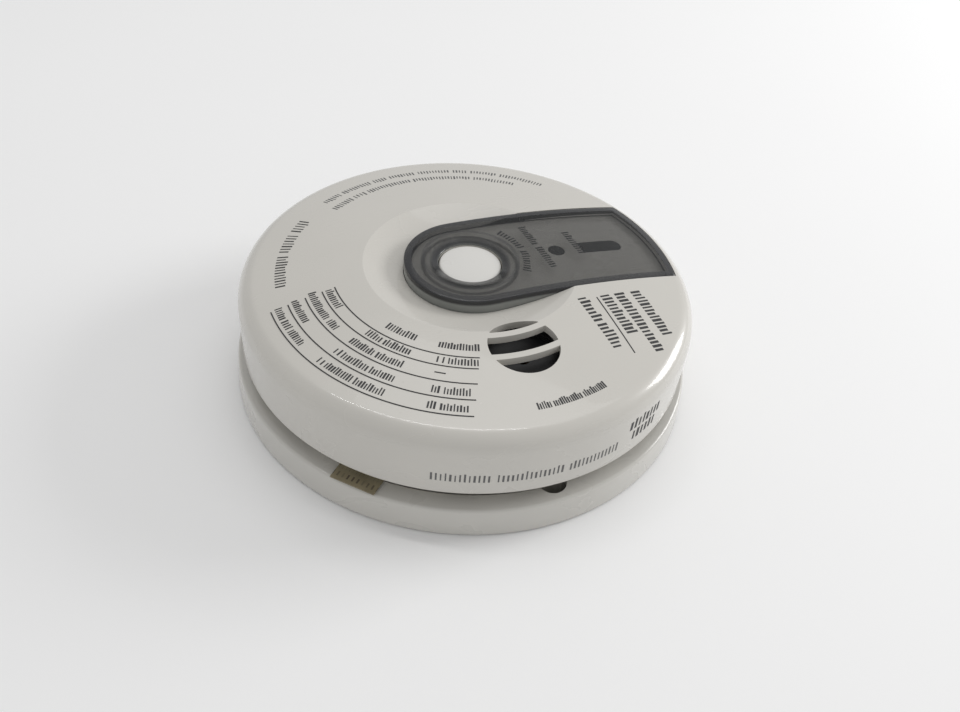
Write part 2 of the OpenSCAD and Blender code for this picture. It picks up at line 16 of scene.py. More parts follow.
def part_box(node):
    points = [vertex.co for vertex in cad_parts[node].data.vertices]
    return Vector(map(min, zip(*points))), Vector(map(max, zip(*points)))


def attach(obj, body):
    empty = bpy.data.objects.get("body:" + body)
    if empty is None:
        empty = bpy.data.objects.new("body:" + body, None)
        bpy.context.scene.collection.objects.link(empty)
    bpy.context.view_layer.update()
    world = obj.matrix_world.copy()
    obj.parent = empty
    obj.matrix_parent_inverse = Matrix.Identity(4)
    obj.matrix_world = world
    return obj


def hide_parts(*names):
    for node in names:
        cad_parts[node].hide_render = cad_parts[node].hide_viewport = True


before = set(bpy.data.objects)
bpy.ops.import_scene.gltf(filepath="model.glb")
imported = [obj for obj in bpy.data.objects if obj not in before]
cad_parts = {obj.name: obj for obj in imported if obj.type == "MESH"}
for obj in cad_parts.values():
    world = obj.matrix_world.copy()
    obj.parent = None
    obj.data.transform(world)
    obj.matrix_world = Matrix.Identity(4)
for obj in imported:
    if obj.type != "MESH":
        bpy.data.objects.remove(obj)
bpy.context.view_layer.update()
MM = 0.001

# %% [markdown]
# ## Sizes
# The engineering model is in metres and the alarm's own sizes are easier to read in millimetres,
# so the lengths below are millimetres and are scaled once, when a mesh is made. What can be
# measured on the model is measured. The two numbers that shape the face are the radius of the big
# sphere and the radius of the rounded shoulder.

# %% Measure the drum
bracket_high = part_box("mounting_bracket")[1]
cover_low, cover_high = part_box("front_cover")
lens_low, lens_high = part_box("status_lens")
button_low, button_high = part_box("test_button")
BRACKET_R = bracket_high.x / MM
RIM_TOP = bracket_high.z / MM
COVER_R = cover_high.x / MM
COVER_BOTTOM = cover_low.z / MM
LENS_R = lens_high.x / MM
LENS_END = lens_high.y / MM
SKIRT_BOTTOM = lens_low.z / MM
BUTTON_TOP = button_high.z / MM
BUTTON_STEM = button_low.z / MM
FACE_TOP = 36.0
DOME_R = 320.0
SHOULDER_R = 5.2
WALL = 2.0
print("cover radius", round(COVER_R, 2), "mm, lens half width", round(LENS_R, 2), "mm")

# %% Heights of the face
DOME_Z = FACE_TOP - DOME_R
SHOULDER_X = COVER_R - SHOULDER_R
SHOULDER_Z = DOME_Z + math.sqrt((DOME_R - SHOULDER_R) ** 2 - SHOULDER_X ** 2)
SHOULDER_START = SHOULDER_X * DOME_R / (DOME_R - SHOULDER_R)
DISH_R = 28.6
DISH_FLOOR = FACE_TOP - 4.3
CORE_BOTTOM = DISH_FLOOR - 1.8


def dome(r):
    """Height of the big sphere at distance r from the middle."""
    return DOME_Z + math.sqrt(DOME_R ** 2 - r * r)


def face(r):
    """Height of the cover's outside, with its rounded shoulder."""
    if r < SHOULDER_START:
        return dome(r)
    return SHOULDER_Z + math.sqrt(max(SHOULDER_R ** 2 - (r - SHOULDER_X) ** 2, 0))


DISH_RIM = dome(DISH_R)
DISH_RISE = DISH_RIM - DISH_FLOOR
DISH_C = ((DISH_R ** 2 - LENS_R ** 2) / DISH_RISE + DISH_RIM + DISH_FLOOR) / 2
DISH_CURVE = math.hypot(DISH_R, DISH_C - DISH_RIM)


def dish(r, drop=0.0):
    """Height of the dished ring, or of a surface that lies drop below it."""
    return DISH_C - math.sqrt((DISH_CURVE + drop) ** 2 - r * r)


print("dish rim at", round(DISH_RIM, 2), "mm, dish curve", round(DISH_CURVE, 1), "mm")

# %% [markdown]
# ## Small tools for nodes
# Every finish and every rule-made shape below is a node tree. Making each node takes the same
# three steps: create it, set its options, and fill or link its sockets. One helper does all
# three, which keeps the trees short enough to read as a recipe.

# %% A helper that places one node
def put(tree, kind, settings=None, inputs=None):
    """Add a node, set its options, and fill its sockets with values or links."""
    node = tree.nodes.new(kind)
    for name, value in (settings or {}).items():
        setattr(node, name, value)
    for key, value in (inputs or {}).items():
        if isinstance(value, bpy.types.NodeSocket):
            tree.links.new(value, node.inputs[key])
        else:
            node.inputs[key].default_value = value
    return node


def wire(tree, inputs, links):
    """Link sockets into inputs that are given by name."""
    for label, socket in links.items():
        tree.links.new(socket, inputs[label])


def sum_of(tree, how, a, b):
    """The result of a Math node such as ADD or MULTIPLY."""
    return put(tree, "ShaderNodeMath", {"operation": how}, {0: a, 1: b}).outputs[0]


def mixed(tree, share, first, second):
    """A colour between two colours."""
    values = {0: share, 6: first, 7: second}
    return put(tree, "ShaderNodeMix", {"data_type": "RGBA"}, values).outputs[2]


def remap(tree, value, start, end, low=0.0, high=1.0, curve="LINEAR"):
    """Map a value that runs from start to end onto low to high."""
    return put(tree, "ShaderNodeMapRange", {"interpolation_type": curve}, {
        "Value": value, "From Min": start, "From Max": end,
        "To Min": low, "To Max": high}).outputs[0]


def new_group(name, kind, sockets):
    """An empty node group with its inputs and outputs, given as (in or out, name, type, value)."""
    tree = bpy.data.node_groups.new(name, kind)
    for side, label, socket, value in sockets:
        made = tree.interface.new_socket(label, in_out=side, socket_type="NodeSocket" + socket)
        if value is not None:
            made.default_value = value
    start = tree.nodes.new("NodeGroupInput")
    end = tree.nodes.new("NodeGroupOutput")
    return tree, start.outputs, end.inputs


print("node helpers ready")

# %% [markdown]
# ## Small tools for meshes
# Some pieces are lofts, which are rings of points joined by quads. Others are prisms used only as
# cutters. A Boolean cuts them, and a rounded path gives a turned piece its soft corners, because
# a moulded edge always has a small radius that catches the light.

# %% Meshes from points, and modifiers made plain
def make_piece(name, points, edges=(), faces=()):
    """A mesh object from points in millimetres."""
    mesh = bpy.data.meshes.new(name)
    mesh.from_pydata([Vector(p) * MM for p in points], list(edges), list(faces))
    piece = bpy.data.objects.new(name, mesh)
    bpy.context.scene.collection.objects.link(piece)
    return piece


def settle(piece):
    """Turn a piece with its modifiers into one plain mesh."""
    bpy.context.view_layer.update()
    shaped = piece.evaluated_get(bpy.context.evaluated_depsgraph_get())
    mesh = bpy.data.meshes.new_from_object(shaped)
    piece.modifiers.clear()
    piece.data = mesh


def face_outwards(piece):
    """Merge doubles and turn every face outwards."""
    work = bmesh.new()
    work.from_mesh(piece.data)
    bmesh.ops.remove_doubles(work, verts=work.verts, dist=1e-7)
    bmesh.ops.recalc_face_normals(work, faces=work.faces)
    work.to_mesh(piece.data)
    work.free()


def combine(piece, tool, how):
    """UNION, DIFFERENCE or INTERSECT of two closed pieces. The tool is used up."""
    cut = piece.modifiers.new("combine", "BOOLEAN")
    cut.operation = how
    cut.solver = "MANIFOLD"
    cut.object = tool
    settle(piece)
    bpy.data.objects.remove(tool)
    return piece


def prism(outline, low, high):
    """A closed block over an outline in the XY plane."""
    n = len(outline)
    points = [(x, y, low) for x, y in outline] + [(x, y, high) for x, y in outline]
    sides = [(i, (i + 1) % n, n + (i + 1) % n, n + i) for i in range(n)]
    block = make_piece("tool", points, faces=sides + [range(n), range(n, 2 * n)])
    face_outwards(block)
    return block


def loft(name, rings):
    """A closed solid through rings of equal length; the last ring joins the first."""
    n, m = len(rings[0]), len(rings)
    faces = [
        (i * n + j, i * n + (j + 1) % n, (i + 1) % m * n + (j + 1) % n, (i + 1) % m * n + j)
        for i in range(m) for j in range(n)
    ]
    piece = make_piece(name, [p for ring in rings for p in ring], faces=faces)
    face_outwards(piece)
    return piece


print("mesh helpers ready")

# %% Outlines and rounded paths
def circle(r, x=0.0, y=0.0, n=96):
    return [
        (x + r * math.cos(2 * math.pi * i / n), y + r * math.sin(2 * math.pi * i / n))
        for i in range(n)
    ]


def arc_outline(r_in, r_out, middle, width):
    """Outline of part of a flat ring, angles in degrees."""
    turn = [math.radians(middle + width * (i / 24 - 0.5)) for i in range(25)]
    outer = [(r_out * math.cos(a), r_out * math.sin(a)) for a in turn]
    inner = [(r_in * math.cos(a), r_in * math.sin(a)) for a in reversed(turn)]
    return outer + inner


def rounded(path, closed=True):
    """Round the corners of a path of (r, z, radius of the corner)."""
    result = []
    for i, (x, z, radius) in enumerate(path):
        here = Vector((x, z))
        ends = not closed and i in (0, len(path) - 1)
        if ends or radius == 0:
            result.append((x, z))
            continue
        before = Vector(path[i - 1][:2]) - here
        after = Vector(path[(i + 1) % len(path)][:2]) - here
        half = before.angle(after) / 2
        reach = min(radius / math.tan(half), 0.49 * before.length, 0.49 * after.length)
        a = here + before.normalized() * reach
        b = here + after.normalized() * reach
        for step in range(7):
            t = step / 6
            point = a * (1 - t) ** 2 + here * 2 * t * (1 - t) + b * t * t
            result.append((point.x, point.y))
    return result


one_edge = rounded([(0, 0, 0), (5, 0, 0.4), (5, 5, 0)])
print("an edge of radius 0.4 mm becomes", len(one_edge), "points")

# %% [markdown]
# ## A lathe made of Geometry Nodes
# The cover, the bracket and the button are all surfaces of revolution, so one rule makes them:
# take the points of a half section and turn them around the Z axis. A Spin tool would do it once
# by hand. The tree below keeps it a rule, with the number of segments as an input. It lays out a
# grid with one row for each point of the section, then moves every grid point to its place on
# the circle.

# %% Build the lathe tree
def dress(tree, geometry, given, result):
    """End a tree: make its instances real and give them the material from its input."""
    real = put(tree, "GeometryNodeRealizeInstances", None, {"Geometry": geometry})
    dressed = put(tree, "GeometryNodeSetMaterial", None,
                  {"Geometry": real.outputs[0], "Material": given["Finish"]})
    tree.links.new(dressed.outputs[0], result[0])
    return tree


def build_lathe():
    tree, given, result = new_group("lathe", "GeometryNodeTree", [
        ("INPUT", "Section", "Geometry", None),
        ("INPUT", "Segments", "Int", 192),
        ("INPUT", "Finish", "Material", None),
        ("OUTPUT", "Solid", "Geometry", None),
    ])
    section, segments = given["Section"], given["Segments"]
    count = put(tree, "GeometryNodeAttributeDomainSize", {"component": "MESH"}, {0: section})
    columns = put(tree, "FunctionNodeIntegerMath", {"operation": "ADD"}, {0: segments, 1: 1})
    grid = put(tree, "GeometryNodeMeshGrid", None, {
        "Vertices X": count.outputs["Point Count"], "Vertices Y": columns.outputs[0]})
    number = put(tree, "GeometryNodeInputIndex").outputs[0]
    row = put(tree, "FunctionNodeIntegerMath", {"operation": "DIVIDE_FLOOR"},
              {0: number, 1: columns.outputs[0]})
    column = put(tree, "FunctionNodeIntegerMath", {"operation": "MODULO"},
                 {0: number, 1: columns.outputs[0]})
    here = put(tree, "GeometryNodeInputPosition").outputs[0]
    place = put(tree, "GeometryNodeSampleIndex", {"data_type": "FLOAT_VECTOR", "domain": "POINT"},
                {"Geometry": section, "Value": here, "Index": row.outputs[0]})
    share = sum_of(tree, "DIVIDE", column.outputs[0], segments)
    angle = sum_of(tree, "MULTIPLY", share, 2 * math.pi)
    turned = put(tree, "ShaderNodeVectorRotate", {"rotation_type": "Z_AXIS"},
                 {"Vector": place.outputs[0], "Angle": angle})
    moved = put(tree, "GeometryNodeSetPosition", None,
                {"Geometry": grid.outputs["Mesh"], "Position": turned.outputs[0]})
    closed = put(tree, "GeometryNodeMergeByDistance", None,
                 {"Geometry": moved.outputs[0], "Distance": 2e-6})
    return dress(tree, closed.outputs[0], given, result)


def grow(piece, tree, values):
    """Run a Geometry Nodes tree on a piece, with its inputs set by name, and keep the mesh."""
    step = piece.modifiers.new(tree.name, "NODES")
    step.node_group = tree
    for item in tree.interface.items_tree:
        if item.in_out == "INPUT" and item.name in values:
            step[item.identifier] = values[item.name]
    settle(piece)
    return piece


lathe = build_lathe()
print("the lathe tree has", len(lathe.nodes), "nodes")

# %% Turn a section on the lathe
def turn(name, section, segments=192, finish=None):
    """A closed solid of revolution. A section that starts on the axis also ends on it."""
    on_axis = abs(section[0][0]) < 1e-9 and abs(section[-1][0]) < 1e-9
    path = list(section) if on_axis else list(section) + [section[0]]
    edges = [(i, i + 1) for i in range(len(path) - 1)]
    piece = make_piece(name, [(r, 0, z) for r, z in path], edges=edges)
    grow(piece, lathe, {"Segments": segments, "Finish": finish})
    face_outwards(piece)
    return piece


def span(low, high, n):
    return [low + (high - low) * i / n for i in range(n + 1)]


def dome_block(drop, low, r=60.5):
    """A solid under a copy of the big sphere that lies drop lower."""
    top = [(x, dome(x) - drop) for x in span(0, r, 24)]
    return turn("tool", top + [(r, low), (0, low)])


print("turning tools ready")

# %% [markdown]
# ## Finishes
# Real moulded plastic is never one flat colour. It has a fine grain from the mould, slow clouds
# of tone, and a gloss that changes where it has been handled. These effects are shader groups,
# built once and placed in each material with its own values. Shaders stay in the material itself.

# %% Shader group: moulded surface
def build_moulded():
    tree, given, result = new_group("moulded_surface", "ShaderNodeTree", [
        ("INPUT", "Colour", "Color", (0.8, 0.8, 0.8, 1)),
        ("INPUT", "Shade", "Color", (0.7, 0.7, 0.7, 1)),
        ("INPUT", "Roughness", "Float", 0.4),
        ("INPUT", "Gloss Change", "Float", 0.08),
        ("INPUT", "Cloud Scale", "Float", 40.0),
        ("INPUT", "Grain Scale", "Float", 1800.0),
        ("INPUT", "Grain Depth", "Float", 0.05),
        ("OUTPUT", "Colour", "Color", None),
        ("OUTPUT", "Roughness", "Float", None),
        ("OUTPUT", "Normal", "Vector", None),
    ])
    where = put(tree, "ShaderNodeTexCoord").outputs["Object"]
    cloud = put(tree, "ShaderNodeTexNoise", None,
                {"Vector": where, "Scale": given["Cloud Scale"], "Detail": 4.0})
    grain = put(tree, "ShaderNodeTexNoise", None,
                {"Vector": where, "Scale": given["Grain Scale"], "Detail": 2.0})
    contrast = remap(tree, cloud.outputs[0], 0.3, 0.7)
    tone = mixed(tree, contrast, given["Colour"], given["Shade"])
    centred = sum_of(tree, "SUBTRACT", contrast, 0.5)
    change = sum_of(tree, "MULTIPLY", centred, given["Gloss Change"])
    rough = sum_of(tree, "ADD", given["Roughness"], change)
    bump = put(tree, "ShaderNodeBump", None, {
        "Height": grain.outputs[0], "Strength": given["Grain Depth"], "Distance": 0.0003})
    wire(tree, result, {"Colour": tone, "Roughness": rough, "Normal": bump.outputs[0]})
    return tree


moulded = build_moulded()
print("moulded_surface has", len(moulded.nodes), "nodes")

# %% Shader group: handling marks
def build_handling():
    tree, given, result = new_group("handling_marks", "ShaderNodeTree", [
        ("INPUT", "Colour", "Color", (0.8, 0.8, 0.8, 1)),
        ("INPUT", "Roughness", "Float", 0.3),
        ("INPUT", "Smear", "Float", 0.15),
        ("INPUT", "Dust", "Float", 0.1),
        ("OUTPUT", "Colour", "Color", None),
        ("OUTPUT", "Roughness", "Float", None),
    ])
    where = put(tree, "ShaderNodeTexCoord").outputs["Object"]
    wide = put(tree, "ShaderNodeMapping", None, {"Vector": where, "Scale": (60, 22, 60)})
    wipe = put(tree, "ShaderNodeTexNoise", None,
               {"Vector": wide.outputs[0], "Scale": 1.0, "Detail": 6.0, "Distortion": 1.5})
    patch = remap(tree, wipe.outputs[0], 0.52, 0.72)
    speck = put(tree, "ShaderNodeTexVoronoi", None, {"Vector": where, "Scale": 260.0})
    small = remap(tree, speck.outputs["Distance"], 0.05, 0.12, 1, 0)
    sparse = sum_of(tree, "MULTIPLY", small, patch)
    dust = sum_of(tree, "MULTIPLY", sparse, given["Dust"])
    tone = mixed(tree, dust, given["Colour"], (0.42, 0.4, 0.36, 1))
    smear = sum_of(tree, "MULTIPLY", patch, given["Smear"])
    rough = sum_of(tree, "ADD", given["Roughness"], smear)
    wire(tree, result, {"Colour": tone, "Roughness": rough})
    return tree


handling = build_handling()
print("handling_marks has", len(handling.nodes), "nodes")

# %% Shader group: drawn metal
def build_drawn():
    tree, given, result = new_group("drawn_metal", "ShaderNodeTree", [
        ("INPUT", "Colour", "Color", (0.6, 0.6, 0.6, 1)),
        ("INPUT", "Roughness", "Float", 0.3),
        ("INPUT", "Stretch", "Vector", (3000, 3000, 60)),
        ("INPUT", "Depth", "Float", 0.1),
        ("OUTPUT", "Colour", "Color", None),
        ("OUTPUT", "Roughness", "Float", None),
        ("OUTPUT", "Normal", "Vector", None),
    ])
    where = put(tree, "ShaderNodeTexCoord").outputs["Object"]
    long = put(tree, "ShaderNodeVectorMath", {"operation": "MULTIPLY"},
               {0: where, 1: given["Stretch"]})
    lines = put(tree, "ShaderNodeTexNoise", None,
                {"Vector": long.outputs[0], "Scale": 1.0, "Detail": 3.0})
    dull = put(tree, "ShaderNodeTexNoise", None, {"Vector": where, "Scale": 220.0, "Detail": 4.0})
    shade = put(tree, "ShaderNodeHueSaturation", None, {
        "Color": given["Colour"], "Value": sum_of(tree, "ADD", dull.outputs[0], 0.45)})
    change = sum_of(tree, "MULTIPLY", lines.outputs[0], 0.25)
    rough = sum_of(tree, "ADD", given["Roughness"], change)
    bump = put(tree, "ShaderNodeBump", None, {
        "Height": lines.outputs[0], "Strength": given["Depth"], "Distance": 0.0001})
    wire(tree, result, {"Colour": shade.outputs[0], "Roughness": rough, "Normal": bump.outputs[0]})
    return tree


drawn = build_drawn()
print("drawn_metal has", len(drawn.nodes), "nodes")

# %% [markdown]
# ## Materials from the groups
# A material is a Principled shader fed by those groups. Values that are the same all over the
# piece, such as the coat or the refraction index, sit on the shader's own sockets.

# %% Start a material
def start_material(name, **plain):
    """A material with one Principled shader whose plain values are set directly."""
    made = bpy.data.materials.new(name)
    made.use_nodes = True
    tree = made.node_tree
    tree.nodes.clear()
    shader = tree.nodes.new("ShaderNodeBsdfPrincipled")
    end = tree.nodes.new("ShaderNodeOutputMaterial")
    tree.links.new(shader.outputs[0], end.inputs["Surface"])
    for label, value in plain.items():
        shader.inputs[label.replace("_", " ")].default_value = value
    return made, tree, shader


def moulded_base(tree, colour, shade, roughness, gloss_change, clouds, scale, depth):
    """The moulded surface group with its values, as its outputs."""
    return put(tree, "ShaderNodeGroup", {"node_tree": moulded}, {
        "Colour": (*colour, 1), "Shade": (*shade, 1), "Roughness": roughness,
        "Gloss Change": gloss_change, "Cloud Scale": clouds,
        "Grain Scale": scale, "Grain Depth": depth}).outputs


def handled(tree, base, smear, dust):
    """The handling marks over a surface, as their outputs."""
    return put(tree, "ShaderNodeGroup", {"node_tree": handling}, {
        "Colour": base["Colour"], "Roughness": base["Roughness"],
        "Smear": smear, "Dust": dust}).outputs


def feed(tree, shader, base, **instead):
    """Feed the shader from a surface, apart from the sockets that are given instead."""
    links = {"Base_Color": base["Colour"], "Roughness": base["Roughness"],
             "Normal": base["Normal"]}
    wire(tree, shader.inputs, {
        label.replace("_", " "): socket for label, socket in (links | instead).items()})


def plastic(name, colour, roughness, shade=0.93, grain=0.05, grain_scale=1800.0, smear=0.0,
            dust=0.0, clouds=40.0, gloss_change=0.06, **plain):
    """Moulded plastic, with handling marks where it shows."""
    made, tree, shader = start_material(name, **plain)
    darker = [channel * shade for channel in colour]
    base = moulded_base(tree, colour, darker, roughness, gloss_change, clouds, grain_scale, grain)
    marks = handled(tree, base, smear, dust)
    feed(tree, shader, base, Base_Color=marks["Colour"], Roughness=marks["Roughness"])
    return made


def metal(name, colour, roughness, stretch=(3000, 3000, 60), depth=0.1):
    """Rolled, drawn or plated metal with fine lines."""
    made, tree, shader = start_material(name, Metallic=1.0)
    base = put(tree, "ShaderNodeGroup", {"node_tree": drawn}, {
        "Colour": (*colour, 1), "Roughness": roughness, "Stretch": stretch,
        "Depth": depth}).outputs
    feed(tree, shader, base)
    return made


print("plastic() and metal() ready")

# %% Plastics and metals of the alarm
finish = {
    "cover": plastic("cover_gloss_abs", (0.63, 0.61, 0.565), 0.26, 0.97, grain=0.03,
                     grain_scale=900.0, smear=0.1, dust=0.25, Coat_Weight=0.5,
                     Coat_Roughness=0.04),
    "bracket": plastic("bracket_satin_abs", (0.61, 0.595, 0.555), 0.27, 0.96, grain=0.05,
                       smear=0.1, dust=0.3, Coat_Weight=0.6, Coat_Roughness=0.1),
    "housing": plastic("housing_satin_abs", (0.5, 0.485, 0.445), 0.45, 0.95, grain=0.1, dust=0.3),
    "button": plastic("button_white_abs", (0.72, 0.71, 0.68), 0.3, 0.97, grain=0.05,
                      smear=0.15, dust=0.2, Coat_Weight=0.15, Coat_Roughness=0.12),
    "black": plastic("black_abs", (0.012, 0.012, 0.013), 0.42, 0.7, grain=0.12, dust=0.5),
    "switch": plastic("switch_nylon", (0.09, 0.065, 0.055), 0.45, 0.85, grain=0.1),
    "foam": plastic("closed_cell_foam", (0.02, 0.02, 0.02), 0.85, 0.6, grain=0.9,
                    grain_scale=2600.0),
    "chip": plastic("chip_epoxy", (0.022, 0.022, 0.024), 0.55, 0.8, grain=0.35,
                    grain_scale=6000.0),
    "ferrite": plastic("ferrite_grey", (0.05, 0.048, 0.045), 0.6, 0.7, grain=0.4,
                       grain_scale=4000.0),
    "ceramic": plastic("silvered_ceramic", (0.7, 0.68, 0.62), 0.35, 0.85, grain=0.2,
                       grain_scale=3000.0),
    "tan": plastic("fired_tan_ceramic", (0.42, 0.3, 0.18), 0.5, 0.8, grain=0.2,
                   grain_scale=5000.0),
    "cap": plastic("cell_cap_polymer", (0.75, 0.74, 0.7), 0.4, 0.93, grain=0.08),
    "tamper": plastic("tamper_acetal", (0.7, 0.69, 0.64), 0.38, 0.95, grain=0.06),
    "brass": metal("rolled_brass", (0.62, 0.43, 0.17), 0.22, (2600, 90, 2600)),
    "tin": metal("tinned_wire", (0.66, 0.66, 0.63), 0.2),
    "can": metal("drawn_can", (0.56, 0.56, 0.56), 0.24, (2400, 2400, 70)),
    "sleeve": metal("capacitor_sleeve", (0.4, 0.43, 0.5), 0.35, (2400, 2400, 70)),
    "spring": metal("spring_wire", (0.42, 0.42, 0.43), 0.2, (1500, 1500, 1500), 0.05),
    "contact": metal("nickel_strip", (0.6, 0.58, 0.53), 0.18, (2600, 2600, 90)),
    "screw": metal("zinc_screw", (0.5, 0.5, 0.5), 0.22, (900, 900, 2600), 0.15),
    "copper": plastic("enamelled_copper", (0.5, 0.2, 0.07), 0.25, 0.8, grain=0.05, Metallic=0.6),
}
print("made", len(finish), "finishes")

# %% [markdown]
# ### Smoked lens
# The lens is smoked acrylic about two millimetres thick, over a pale seat in the cover. Light
# passes through it twice, so it reads mid grey where the seat is white and almost black over the
# light windows. Its edge has a band painted darker and more opaque, a painted shade for the thick
# edge over the shaded groove under it. A transmission shader would be true to the physics but
# slow and noisy over white plastic. Here the lens is a dark glossy skin that lets part of the seat
# show through its alpha. The band is found from the distance to the outline: the outline is a half
# circle that grows into two straight sides. Two dark rings around the button are painted shade
# for the edges of the recess there, and the outer face of the skirt is painted paler grey, a
# painted light for the light that shines through it.

# %% Smoked lens material
def smoked_lens():
    made, tree, shader = start_material("smoked_acrylic", Coat_Weight=0.3, Coat_Roughness=0.05)
    where = put(tree, "ShaderNodeTexCoord").outputs["Object"]
    axes = put(tree, "ShaderNodeSeparateXYZ", None, {0: where}).outputs
    below = sum_of(tree, "MINIMUM", axes["Y"], 0.0)
    side = put(tree, "ShaderNodeCombineXYZ", None, {"X": axes["X"], "Y": below})
    reach = put(tree, "ShaderNodeVectorMath", {"operation": "LENGTH"}, {0: side.outputs[0]})
    inside = sum_of(tree, "SUBTRACT", LENS_R * MM, reach.outputs["Value"])
    flat = put(tree, "ShaderNodeCombineXYZ", None, {"X": axes["X"], "Y": axes["Y"]})
    out = put(tree, "ShaderNodeVectorMath", {"operation": "LENGTH"},
              {0: flat.outputs[0]}).outputs["Value"]
    to_end = sum_of(tree, "SUBTRACT", LENS_END * MM, out)
    near = sum_of(tree, "MINIMUM", inside, to_end)
    # Painted shade: a darker, more opaque band within about 2 mm of the outline, for the thick
    # edge
    band = remap(tree, near, 0.0019, 0.0022, 1, 0)
    # Painted shade: a soft dark ring at 10 to 11 mm and a thin dark line at 12.7 mm, for the
    # recess edges
    ring = remap(tree, out, 0.0098, 0.0112, 0.8, 0, "SMOOTHSTEP")
    off_line = sum_of(tree, "ABSOLUTE", sum_of(tree, "SUBTRACT", out, 0.0127), 0.0)
    line = remap(tree, off_line, 0.0002, 0.0008, 0.55, 0, "SMOOTHSTEP")
    painted_shade = sum_of(tree, "MAXIMUM", band, sum_of(tree, "MAXIMUM", ring, line))
    base = moulded_base(tree, (0.034, 0.036, 0.036), (0.026, 0.028, 0.029), 0.16, 0.06,
                        55, 500, 0.02)
    marks = handled(tree, base, 0.2, 0.3)
    tone = mixed(tree, painted_shade, marks["Colour"], (0.022, 0.023, 0.026, 1))
    # Painted light: the front of the skirt, 1 to 1.9 mm under the face, is painted pale grey
    square = sum_of(tree, "MULTIPLY", out, out)
    sag = sum_of(tree, "DIVIDE", square, 2 * DOME_R * MM)
    depth = sum_of(tree, "SUBTRACT", sum_of(tree, "SUBTRACT", FACE_TOP * MM, sag), axes["Z"])
    wall = remap(tree, depth, 0.001, 0.0019, 0, 1, "SMOOTHSTEP")
    behind = put(tree, "ShaderNodeNewGeometry").outputs["Backfacing"]
    outside = sum_of(tree, "MULTIPLY", wall, sum_of(tree, "SUBTRACT", 1.0, behind))
    painted_lit_wall = mixed(tree, outside, tone, (0.27, 0.28, 0.265, 1))
    feed(tree, shader, base, Base_Color=painted_lit_wall, Roughness=marks["Roughness"],
         Alpha=remap(tree, painted_shade, 0, 1, 0.36, 0.85))
    return made


finish["lens"] = smoked_lens()
print("lens band is 2 mm wide inside", round(LENS_R, 1), "mm")

# %% [markdown]
# ### Clear, printed and tinted pieces
# The light pipes are clear plastic painted almost black, a painted shade for the dark inside of
# the drum that shows through the windows. The lights are tinted epoxy, the pull tab is amber film
# with dark print, and the board is green laminate with pale tracks. Each one starts from the same
# groups and adds the one thing that makes it look like itself.

# %% Light pipes, lights and film
def clear_plastic_painted_dark():
    made, tree, shader = start_material(
        "clear_polycarbonate_painted_dark", Transmission_Weight=0.3, IOR=1.3)
    # Painted shade: clear plastic given an almost black colour, so the windows read dark
    base = moulded_base(tree, (0.008, 0.009, 0.01), (0.005, 0.005, 0.006), 0.25, 0.08,
                        200, 1200, 0.05)
    feed(tree, shader, base)
    return made


def amber_film():
    """Thin film whose printed blocks come from a brick pattern turned to the tab's direction."""
    made, tree, shader = start_material("amber_film", Coat_Weight=0.5, Coat_Roughness=0.1)
    where = put(tree, "ShaderNodeTexCoord").outputs["Object"]
    along = put(tree, "ShaderNodeMapping", {"vector_type": "TEXTURE"},
                {"Vector": where, "Rotation": (0, 0, math.radians(-47.5 + 90))})
    blocks = put(tree, "ShaderNodeTexBrick", {"offset": 0.4, "squash": 0.7}, {
        "Vector": along.outputs[0], "Scale": 260.0, "Mortar Size": 0.12, "Brick Width": 0.35,
        "Row Height": 0.6, "Color1": (1, 1, 1, 1), "Color2": (0.35, 0.35, 0.35, 1),
        "Mortar": (0, 0, 0, 1)})
    ink = sum_of(tree, "MULTIPLY", blocks.outputs["Color"], 0.9)
    base = moulded_base(tree, (0.36, 0.31, 0.2), (0.28, 0.24, 0.155), 0.2, 0.15, 300, 900, 0.1)
    tone = mixed(tree, ink, base["Colour"], (0.05, 0.035, 0.03, 1))
    feed(tree, shader, base, Base_Color=tone, Alpha=remap(tree, ink, 0, 1, 0.82, 0.97))
    return made


finish["clear"] = clear_plastic_painted_dark()
finish["film"] = amber_film()
finish["red"] = plastic("red_epoxy", (0.45, 0.03, 0.025), 0.15, 0.8, grain=0.03, Coat_Weight=0.5)
finish["green"] = plastic("green_epoxy", (0.28, 0.42, 0.08), 0.15, 0.8, grain=0.03,
                          Coat_Weight=0.5)
print("clear pieces ready")

# %% Board laminate, battery sleeve and label
def board_laminate():
    """Green solder mask with slightly lighter tracks that run square across the board."""
    made, tree, shader = start_material("board_laminate", Coat_Weight=0.4, Coat_Roughness=0.2)
    where = put(tree, "ShaderNodeTexCoord").outputs["Object"]
    tracks = put(tree, "ShaderNodeTexBrick", {"offset": 0.35}, {
        "Vector": where, "Scale": 230.0, "Mortar Size": 0.09, "Brick Width": 2.6,
        "Row Height": 0.5, "Color1": (0, 0, 0, 1), "Color2": (0.25, 0.25, 0.25, 1),
        "Mortar": (1, 1, 1, 1)})
    base = moulded_base(tree, (0.02, 0.13, 0.05), (0.015, 0.1, 0.04), 0.3, 0.1, 90, 3000, 0.1)
    tone = mixed(tree, tracks.outputs["Color"], base["Colour"], (0.05, 0.26, 0.1, 1))
    raised = put(tree, "ShaderNodeBump", None, {
        "Height": tracks.outputs["Color"], "Strength": 0.3, "Distance": 0.0001,
        "Normal": base["Normal"]})
    feed(tree, shader, base, Base_Color=tone, Normal=raised.outputs[0])
    return made


finish["board"] = board_laminate()
finish["battery"] = plastic("battery_sleeve", (0.07, 0.1, 0.19), 0.3, 0.8, grain=0.06,
                            grain_scale=1200.0, dust=0.3, Coat_Weight=0.4)
finish["label"] = plastic("blank_label_paper", (0.78, 0.77, 0.74), 0.6, 0.95, grain=0.3,
                          grain_scale=2500.0)
print("board, battery and label ready")

# %% [markdown]
# ## Dress the engineering pieces
# The pieces inside the drum already have the right shape, so only their material slots change.
# They still need finishes of their own, because someone may take the cover off the model.

